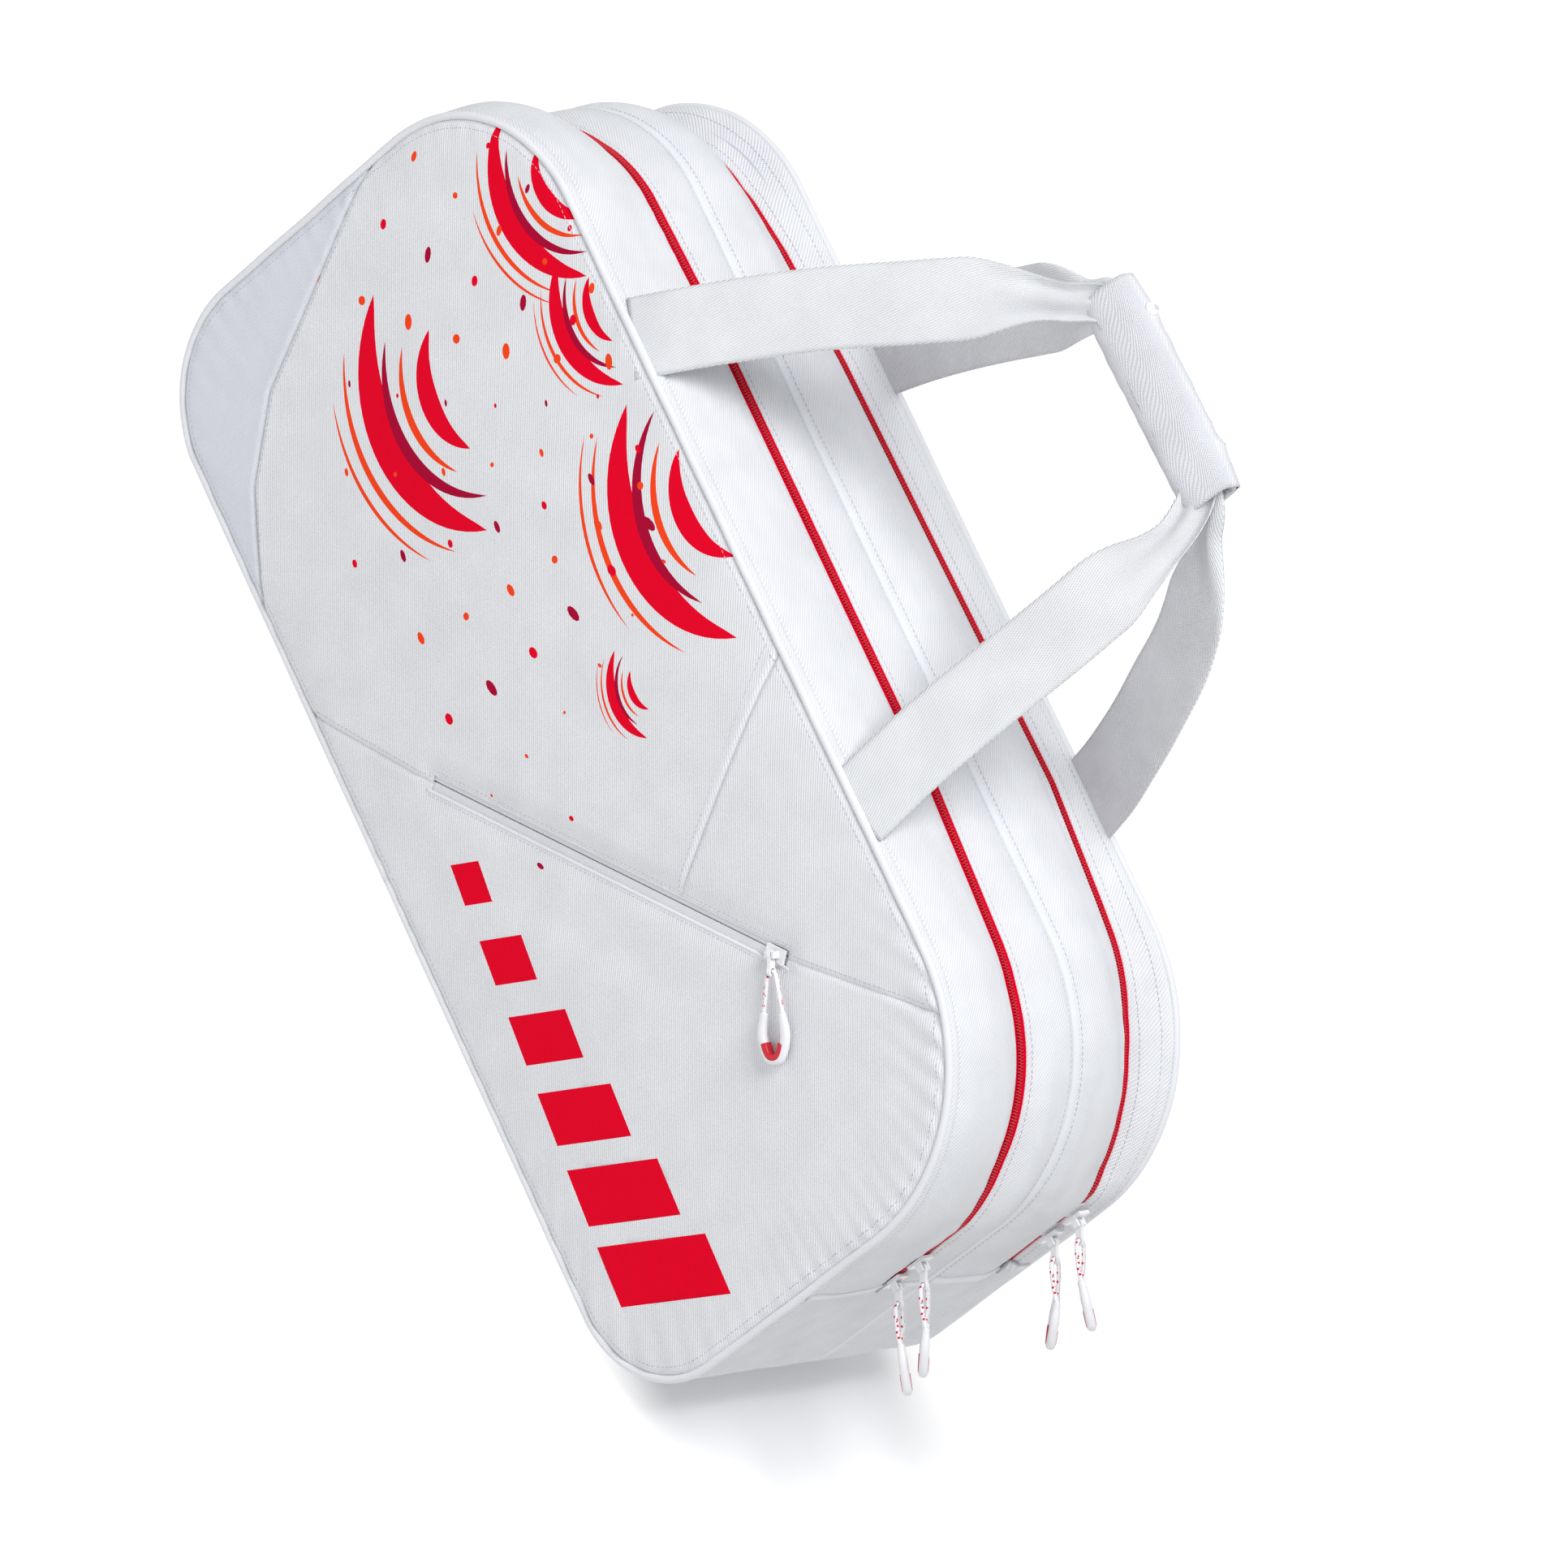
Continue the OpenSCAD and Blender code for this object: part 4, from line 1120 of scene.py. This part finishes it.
def grip_shell(name, start, end, nodes, swell=0.0, thick=4.2, bumps=()):
    """Part of the padded wrap's rounded cross-section, from one angle to another."""
    length = GRIP_HIGH[0] - GRIP_LOW[0] + 6
    angles = np.radians(np.linspace(start, end, 26))[None]
    along = np.linspace(-0.5, 0.5, 46)[:, None]
    squeeze = 1 - 0.10 * np.abs(2 * along) ** 6
    power = 0.62
    cos, sin = np.cos(angles), np.sin(angles)
    half_y, half_z = 9.6 + swell, 19.6 + swell
    for x in bumps:
        pinch_at = bell(along * length + GRIP_MIDDLE - x, 5.6) * bell(angles - math.radians(72), 0.30)
        squeeze = squeeze + 0.085 * pinch_at
    pinch = 0.35 * ripples(along * 30, angles * 3) * smooth((0.5 - np.abs(along)) * 8)
    grow = squeeze + 0 * angles
    y = 10.0 + (half_y * grow + pinch) * np.sign(cos) * np.abs(cos) ** power
    z = GRIP_Z + (half_z * grow + pinch) * np.sign(sin) * np.abs(sin) ** power
    z = z + 2.5 * (along + 0.2)
    x = GRIP_MIDDLE + along * length + 0 * angles
    outer = np.stack([x, y, z], -1)
    core = np.array([0, 10.0, GRIP_Z + 0.5])
    inner = outer.copy()
    inner[..., 1] = core[1] + (outer[..., 1] - core[1]) * (1 - thick / half_y)
    inner[..., 2] = core[2] + (outer[..., 2] - core[2]) * (1 - thick / half_z)
    uv = pairs(along * length + 0 * angles, angles * 20 + 0 * along)
    made = thick_sheet(name, outer, inner, uv, WRAP)
    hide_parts(*nodes)
    return made


def grip():
    pad = grip_shell("grip_pad_cloth", -112, 72, ("grip_pad",))
    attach(pad, "rear_handle")
    low, high = cad_box_mm("snap_caps")
    caps = (low[0] + 5.5, high[0] - 5.5)
    flap = grip_shell("grip_flap_cloth", 48, 246, ("grip_flap",), 1.3, 2.6, caps)
    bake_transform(flap)
    y = (low[1] + high[1]) / 2
    for i, x in enumerate(caps):
        profile = [(0.2, 1.2), (2.4, 1.2), (3.6, 1.0), (4.4, 0.4), (4.6, -0.4), (4.4, -1.0), (3.0, -1.4)]
        turn = np.arange(24) * 2 * math.pi / 24
        verts = np.array([[x + r * math.cos(a), y - 3.0 + r * math.sin(a), low[2] - 3.6 + h]
                          for r, h in profile for a in turn])
        faces = [list(f) for f in quads(len(profile), 24, False, True)]
        faces += [list(range(24))[::-1], list(range(6 * 24, 7 * 24))]
        cap = piece(f"snap_cap_{i}", verts, faces, verts[:, :2], PLASTIC)
        place(cap, "flap", "white_plastic", *(["snap_caps"] if i == 0 else []))


# ---------- Pulls ----------

TAB_L, CORD_L, CORD_R = 10.0, 26.0, 1.4
# Half of the doubled cord, up from the moulded loop: sideways, and up from the tab's eye
HALF_RUN = [(7.6, -28), (7.2, -23), (6.2, -18), (4.8, -10), (3.9, -5), (3.3, -2.2), (2.4, -0.7),
            (1.2, -0.1)]
CORD_POINTS = 90
END_TWIST = 42
PULLS = (
    ("front", "a", 60, -8), ("front", "b", 60, 8), ("rear", "a", 60, 14), ("rear", "b", 60, -14),
)


def turned(points, matrix):
    points = np.asarray(points, float)
    return points @ np.array(matrix.to_3x3()).T + np.array(matrix.translation)


def pull(pin, frame_turn, kink, twist, body, cord_node, grip_node):
    """Flecked cord, moulded loop and red insert, hung from the pin in the CAD's own frame."""
    on_tab = Matrix.Translation(pin) @ frame_turn @ Matrix.Translation((0, 0, -TAB_L))
    route = [(0, y, z) for y, z in HALF_RUN] + [(0, 0, 0)] + [
        (0, -y, z) for y, z in HALF_RUN[::-1]]
    path = curve(route, CORD_POINTS)
    wind = math.radians(twist) * np.minimum(1, -path[:, 2] / CORD_L)
    path[:, 0], path[:, 1] = -path[:, 1] * np.sin(wind), path[:, 1] * np.cos(wind)
    knots = 1 + 0.05 * np.sin(np.arange(CORD_POINTS) * 1.4)
    cord = sweep(cord_node + "_braid", turned(path, on_tab), circle(CORD_R, 12), CORD,
                 up=tuple(on_tab.to_3x3() @ Vector((1, 0, 0))), scale=knots)
    place(cord, body, "pull_cord", cord_node)
    on_cord = on_tab @ Matrix.Translation((0, 0, -CORD_L)) @ Matrix.Rotation(
        math.radians(kink), 4, "Y") @ Matrix.Rotation(math.radians(twist), 4, "Z")
    leg = [(0, 7.2, 1.0), (0, 8.0, -3), (0, 9.0, -8), (0, 9.2, -13), (0, 8.0, -18.5),
           (0, 6.2, -23.5), (0, 4.0, -26.6), (0, 0, -27.0)]
    across = tuple(on_cord.to_3x3() @ Vector((1, 0, 0)))
    path = curve(leg + [(0, -y, z) for _, y, z in leg[-2::-1]], 72)
    fat = 0.80 + 0.20 * smooth((-path[:, 2] - 1) / 9)
    loop = sweep(grip_node + "_loop", turned(path, on_cord), rounded(5.8, 6.0, 2.6), RUBBER,
                 up=across, scale=fat)
    place(loop, body, "pull_rubber", grip_node)
    leg = [(0, 6.9, -17.2), (0, 5.6, -21.4), (0, 3.2, -24.9), (0, 0, -25.8)]
    path = curve(leg + [(0, -y, z) for _, y, z in leg[-2::-1]], 40)
    tip = sweep(grip_node + "_insert", turned(path, on_cord), rounded(6.5, 4.4, 1.4), RED_RUBBER,
                up=across)
    place(tip, body, "pull_rubber")


def pulls():
    for side, letter, hang, kink in PULLS:
        pin = Vector(joint_at(f"{side}_{letter}_tab_swing"))
        turn = Matrix.Rotation(math.radians(-hang), 4, "Y")
        pull(pin, turn, kink, END_TWIST, f"{side}_{letter}_pull", f"{side}_cord_{letter}",
             f"{side}_pull_{letter}")
    pin = Vector(joint_at("pocket_tab_swing"))
    turn = Matrix.Rotation(math.radians(-60), 4, "Y") @ Matrix.Rotation(math.radians(-90), 4, "Z")
    pull(pin, turn, 0, 0, "pocket_pull_body", "pocket_cord", "pocket_pull")
    for name, made in frame["nodes"].items():
        if "_slider" in name or "_tab" in name:
            for i in range(max(len(made.data.materials), 1)):
                if len(made.data.materials):
                    made.data.materials[i] = ENAMEL
                else:
                    made.data.materials.append(ENAMEL)


# ---------- Cross seams and zip ends ----------

def cross_seams():
    """Bound seams across both ends, where the zipped cloth meets the spine side's."""
    spans = (
        ("front", FRONT_Y + 3, FRONT_ZIP_Y - 3, "front_shell"),
        ("front_mid", FRONT_ZIP_Y + 3, MIDDLE_Y - 3, "core"),
        ("rear_mid", MIDDLE_Y + 3, REAR_ZIP_Y - 3, "core"),
        ("rear", REAR_ZIP_Y + 3, REAR_Y - 3, "rear_shell"),
    )
    for end, s_end in (("bottom", S_LOW), ("top", S_HIGH)):
        way = 1 if end == "bottom" else -1
        for name, y0, y1, body in spans:
            y = np.linspace(y0, y1, 40)
            s = s_end + way * (1.5 + 2.2 * ripples(y / 16, 0 * y, 1.0))
            path, _ = on_gusset(s, y, 0.5)
            bind = sweep(f"{name}_{end}_binding", path, rounded(6.0, 1.8, 0.8), PIPING)
            place(bind, body, "white_piping")
    for i, (y, name) in enumerate(((FRONT_ZIP_Y, "front"), (REAR_ZIP_Y, "rear"))):
        for end, s_end in (("bottom", S_LOW), ("top", S_HIGH)):
            way = 1 if end == "bottom" else -1
            t = np.linspace(-7, 7, 20)
            path, _ = on_gusset(s_end + way * 3.0 + 0 * t, y + t, 1.6, 0.0)
            patch = sweep(f"{name}_{end}_stop", path, rounded(9.0, 2.2, 1.0), WEBBING)
            place(patch, "core", "white_zip", *(["zip_end_stops"] if i == 0 and way > 0 else []))


# ---------- Shoulder straps ----------

STRAP_L, STRAP_RISE, STRAP_DROP, STRAP_SPREAD = 590, 40, 5.4, 8
PAD_L, PAD_W, PAD_T = 400, 62, 10
PAD_RINGS, PAD_SIDES = 90, 36
LOWER_ROWS, LOWER_COLUMNS = 60, 7


def strap_line(t):
    return STRAP_RISE * np.sin(math.pi * t / STRAP_L) - STRAP_DROP * t / STRAP_L


def strap_frame(side, name):
    return Matrix.Translation(Vector(joint_at(name))) @ Matrix.Rotation(
        math.radians(-side * STRAP_SPREAD), 4, "Y")


def straps():
    for side, name in ((1, "left"), (-1, "right")):
        at = strap_frame(side, f"{name}_strap_lift")
        body = f"{name}_strap"
        t = np.linspace(1, PAD_L - 1, PAD_RINGS)
        angle = np.linspace(0, 2 * math.pi, PAD_SIDES, endpoint=False)
        width = PAD_W / 2 * (0.93 + 0.07 * np.sin(math.pi * t / PAD_L))
        taper = smooth((t + 6) / 16) * smooth((PAD_L + 8 - t) / 16)
        narrow = 1 - 0.42 * smooth((t - PAD_L * 0.80) / (PAD_L * 0.2))
        rings = []
        for tt, w, k, nar in zip(t, width, taper, narrow):
            c, s = np.cos(angle), np.sin(angle)
            z = w * nar * np.sign(c) * np.abs(c) ** 0.45
            puff = PAD_T / 2 * (0.55 + 0.45 * k) * (1 - 0.30 * bell(np.abs(z) - w * nar * 0.72, 2.5))
            y = strap_line(tt) + puff * np.sign(s) * np.abs(s) ** 0.8
            rings.append(np.stack([0 * z + tt, y, z], 1))
        verts = turned(np.concatenate(rings), at)
        sides = (PAD_RINGS - 1) * PAD_SIDES
        faces = [list(f) for f in quads(PAD_RINGS, PAD_SIDES, False, True)]
        faces += [list(range(PAD_SIDES))[::-1], list(range(sides, sides + PAD_SIDES))]
        girth = np.linspace(0, 2 * PAD_W, PAD_SIDES)
        uv = pairs(t[:, None] + 0 * girth, girth[None]).reshape(-1, 2)
        slots = np.r_[[int(i % PAD_SIDES >= PAD_SIDES // 2) for i in range(sides)], [0, 0]]
        pad = piece(f"{name}_pad_cloth", verts, faces, uv, [TWILL, SPACER], slots)
        place(pad, body, "strap_mesh", f"{name}_strap_pad")
        for edge in (-1, 1):
            z = edge * width * narrow * 0.985
            path = turned(np.stack([t, strap_line(t), z], 1), at)
            bind = sweep(f"{name}_pad_binding_{edge + 1}", path, rounded(3.0, 7.0, 1.4), PIPING,
                         up=(0, 0, 1))
            place(bind, body, "strap_mesh")
        lock(name, at, body)
        lower = np.linspace(PAD_L - 4, STRAP_L - 6, LOWER_ROWS)
        u = np.linspace(-12.5, 12.5, LOWER_COLUMNS)[None]
        y = strap_line(lower)[:, None] - 0.6 * smooth((lower[:, None] - 560) / 20) + 0 * u
        flat = np.stack([lower[:, None] + 0 * u, y, u + 0 * lower[:, None]], -1)
        outer = turned(flat.reshape(-1, 3) + [0, 0.7, 0], at).reshape(flat.shape)
        inner = turned(flat.reshape(-1, 3) - [0, 0.7, 0], at).reshape(flat.shape)
        uv = pairs(lower[:, None] + 0 * u, u + 0 * lower[:, None])
        web = thick_sheet(f"{name}_lower_web", outer, inner, uv, WEBBING)
        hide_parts(f"{name}_lower_webbing")
        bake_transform(web)


def lock(name, at, body):
    """Ladder lock: a moulded frame with two bars inside it."""
    spot = Matrix.Translation((PAD_L + 14, strap_line(PAD_L + 14), 0)) @ Matrix.Rotation(
        math.radians(-24), 4, "Z")
    turn = at @ spot
    up = tuple(turn.to_3x3() @ Vector((0, 1, 0)))
    parts = []
    ring = [(-11, 0, -15), (11, 0, -15), (11, 0, 15), (-11, 0, 15)]
    rounds = []
    for i in range(4):
        a, b = np.array(ring[i], float), np.array(ring[(i + 1) % 4], float)
        rounds += [a + (b - a) * k for k in np.linspace(0.12, 0.88, 8)]
    parts.append(sweep(f"{name}_lock_frame", turned(rounds, turn), rounded(4.6, 4.0, 1.4), PLASTIC,
                       closed=True, up=up))
    for k, x in enumerate((-3.6, 3.6)):
        bar = [(x, 0.4, z) for z in np.linspace(-15, 15, 9)]
        parts.append(sweep(f"{name}_lock_bar_{k}", turned(bar, turn), rounded(3.2, 3.4, 1.1), PLASTIC,
                           up=up))
    for made in parts:
        place(made, body, "white_plastic", *([f"{name}_ladder_lock"] if made is parts[0] else []))


def patches():
    """Sewn patches that hold the straps' ends to the back."""
    low, _ = cad_box_mm("strap_anchor_patch")
    middle = BODY_H / 2
    flat_patch("strap_patch_top", low[0] + 1, low[0] + 38, middle - 74, middle + 74, 3.2,
               Matrix.Identity(4), ("strap_anchor_patch",))
    for side, name in ((1, "left"), (-1, "right")):
        at = strap_frame(side, f"{name}_strap_lift")
        flat_patch(f"strap_patch_{name}", STRAP_L - 42, STRAP_L - 2, -19, 19, 3.0, at, ())


def flat_patch(name, x0, x1, z0, z1, thick, at, nodes):
    base = BACK_Y - 0.5 if nodes else BACK_Y - joint_at("left_strap_lift")[1] - 0.5
    x = np.linspace(x0, x1, 14)[:, None]
    z = np.linspace(z0, z1, 40 if z1 - z0 > 60 else 14)[None]
    edge = np.minimum(np.minimum(x - x0, x1 - x) + 0 * z, np.minimum(z - z0, z1 - z) + 0 * x)
    y = base + thick * (0.35 + 0.65 * smooth(edge / 3)) + 0.2 * ripples(x / 9, z / 9)
    outer = np.stack([x + 0 * z, y, z + 0 * x], -1)
    inner = outer.copy()
    inner[..., 1] = base - 1.0
    uv = np.stack([x + 0 * z, z + 0 * x], -1)
    shape = outer.shape
    outer = turned(outer.reshape(-1, 3), at).reshape(shape)
    inner = turned(inner.reshape(-1, 3), at).reshape(shape)
    place(thick_sheet(name, outer, inner, uv, TWILL), "rear_shell", "white_twill", *nodes)
    inset = 4.0
    box = [(x0 + inset, z0 + inset), (x1 - inset, z0 + inset), (x1 - inset, z1 - inset),
           (x0 + inset, z1 - inset), (x0 + inset, z0 + inset), (x1 - inset, z1 - inset)]
    path = np.concatenate([np.linspace(a, b, 20) for a, b in zip(box[:-1], box[1:])])
    path = np.stack([path[:, 0], base + thick + 0.15 + 0 * path[:, 0], path[:, 1]], 1)
    path = turned(path, at)
    stitches(name + "_stitches", path, np.tile([0.0, 1.0, 0.0], (len(path), 1)), "rear_shell")


# ---------- Floor, light and camera ----------

VIEW_DIR = Vector((0.2968, -0.7334, 0.6116))
VIEW_RIGHT = Vector((0.4046, 0.6767, 0.6151))
VIEW_UP = Vector((-0.8650, 0.0649, 0.4976))
VIEW_DISTANCE = 7.159
LENS = 267.4
FLOOR_HALF = 30.0
# The floor close to the bag takes its shadow: middle and half size of that area
SHADOW_MIDDLE, SHADOW_HALF, SHADOW_FADE = (0.06, 0.03, 0), (0.36, 0.09, 0), 0.06


def camera():
    """A long lens, aimed a little beside the bag's middle."""
    centre = Vector((0, 0, BODY_H / 2 * MM))
    eye = centre + VIEW_DIR * VIEW_DISTANCE
    target = centre + VIEW_RIGHT * 0.0615 - VIEW_UP * 0.0364
    forward = (target - eye).normalized()
    right = forward.cross(VIEW_UP).normalized()
    up = right.cross(forward)
    data = bpy.data.cameras.new("camera")
    data.sensor_width = 36.0
    data.lens = LENS
    data.clip_end = 60.0
    made = bpy.data.objects.new("camera", data)
    turn = Matrix((right, up, -forward)).transposed().to_4x4()
    made.matrix_world = Matrix.Translation(eye) @ turn
    bpy.context.scene.collection.objects.link(made)
    bpy.context.scene.camera = made


def area_light(name, direction, distance, size, power, color=(1, 1, 1)):
    data = bpy.data.lights.new(name, "AREA")
    data.size = size
    data.energy = power
    data.color = color
    made = bpy.data.objects.new(name, data)
    centre = Vector((0, 0, 0.25))
    made.location = centre + Vector(direction).normalized() * distance
    made.rotation_euler = (centre - made.location).to_track_quat("-Z", "Y").to_euler()
    bpy.context.scene.collection.objects.link(made)


def studio():
    world = bpy.data.worlds.new("studio")
    bpy.context.scene.world = world
    world.use_nodes = True
    sky = world.node_tree.nodes["Background"]
    fill(sky, Color=(0.95, 0.97, 1.0, 1), Strength=0.52)
    area_light("key", (0.08, -0.32, 1.0), 3.0, 1.3, 72.0)
    area_light("side", VIEW_DIR * 0.5 - VIEW_UP * 0.55 + VIEW_RIGHT * 0.35, 3.4, 1.6, 2.5,
               (0.97, 0.98, 1.0))
    material, tree, shader = new_material("pale_floor")
    place_at = add(tree, "ShaderNodeTexCoord")
    speckle = add(tree, "ShaderNodeTexNoise")
    speckle.inputs["Scale"].default_value = 60.0
    ramp = add(tree, "ShaderNodeValToRGB")
    ramp.color_ramp.elements[0].color = (0.93, 0.93, 0.94, 1)
    ramp.color_ramp.elements[1].color = (0.97, 0.97, 0.97, 1)
    link(tree, place_at, "Object", speckle, "Vector")
    link(tree, speckle, "Fac", ramp, "Fac")
    link(tree, ramp, "Color", shader, "Base Color")
    fill(shader, Roughness=0.9, Specular_IOR_Level=0.1, Emission_Color=(1, 1, 1, 1),
         Emission_Strength=0.05)
    # the light table glows evenly, and only the floor close to the bag takes its shadow
    glow = add(tree, "ShaderNodeEmission")
    glow.inputs["Strength"].default_value = 1.05
    shifted = add(tree, "ShaderNodeVectorMath", operation="SUBTRACT")
    shifted.inputs[1].default_value = SHADOW_MIDDLE
    apart = add(tree, "ShaderNodeVectorMath", operation="ABSOLUTE")
    beyond = add(tree, "ShaderNodeVectorMath", operation="SUBTRACT")
    beyond.inputs[1].default_value = SHADOW_HALF
    clipped = add(tree, "ShaderNodeVectorMath", operation="MAXIMUM")
    length = add(tree, "ShaderNodeVectorMath", operation="LENGTH")
    fade = add(tree, "ShaderNodeMapRange", interpolation_type="SMOOTHSTEP")
    fade.inputs["From Max"].default_value = SHADOW_FADE
    both = add(tree, "ShaderNodeMixShader")
    tree.links.new(place_at.outputs["Object"], shifted.inputs[0])
    tree.links.new(shifted.outputs["Vector"], apart.inputs[0])
    tree.links.new(apart.outputs["Vector"], beyond.inputs[0])
    tree.links.new(beyond.outputs["Vector"], clipped.inputs[0])
    tree.links.new(clipped.outputs["Vector"], length.inputs[0])
    link(tree, length, "Value", fade, "Value")
    link(tree, fade, "Result", both, "Fac")
    tree.links.new(shader.outputs["BSDF"], both.inputs[1])
    tree.links.new(glow.outputs["Emission"], both.inputs[2])
    tree.links.new(both.outputs["Shader"], tree.nodes["Material Output"].inputs["Surface"])
    mesh = bpy.data.meshes.new("floor")
    corners = [(x * FLOOR_HALF, y * FLOOR_HALF, 0) for x, y in ((-1, -1), (1, -1), (1, 1), (-1, 1))]
    mesh.from_pydata(corners, [], [(0, 1, 2, 3)])
    mesh.materials.append(material)
    floor = bpy.data.objects.new("floor", mesh)
    bpy.context.scene.collection.objects.link(floor)
    bpy.context.scene.view_settings.view_transform = "Standard"


camera()
studio()
gussets()
zips()
piping()
seam_stitches()
front_panels()
pocket_zip()
boards()
handles()
grip()
pulls()
cross_seams()
straps()
patches()
frame["nodes"]["snap_studs"].data.materials.clear()
frame["nodes"]["snap_studs"].data.materials.append(STEEL)
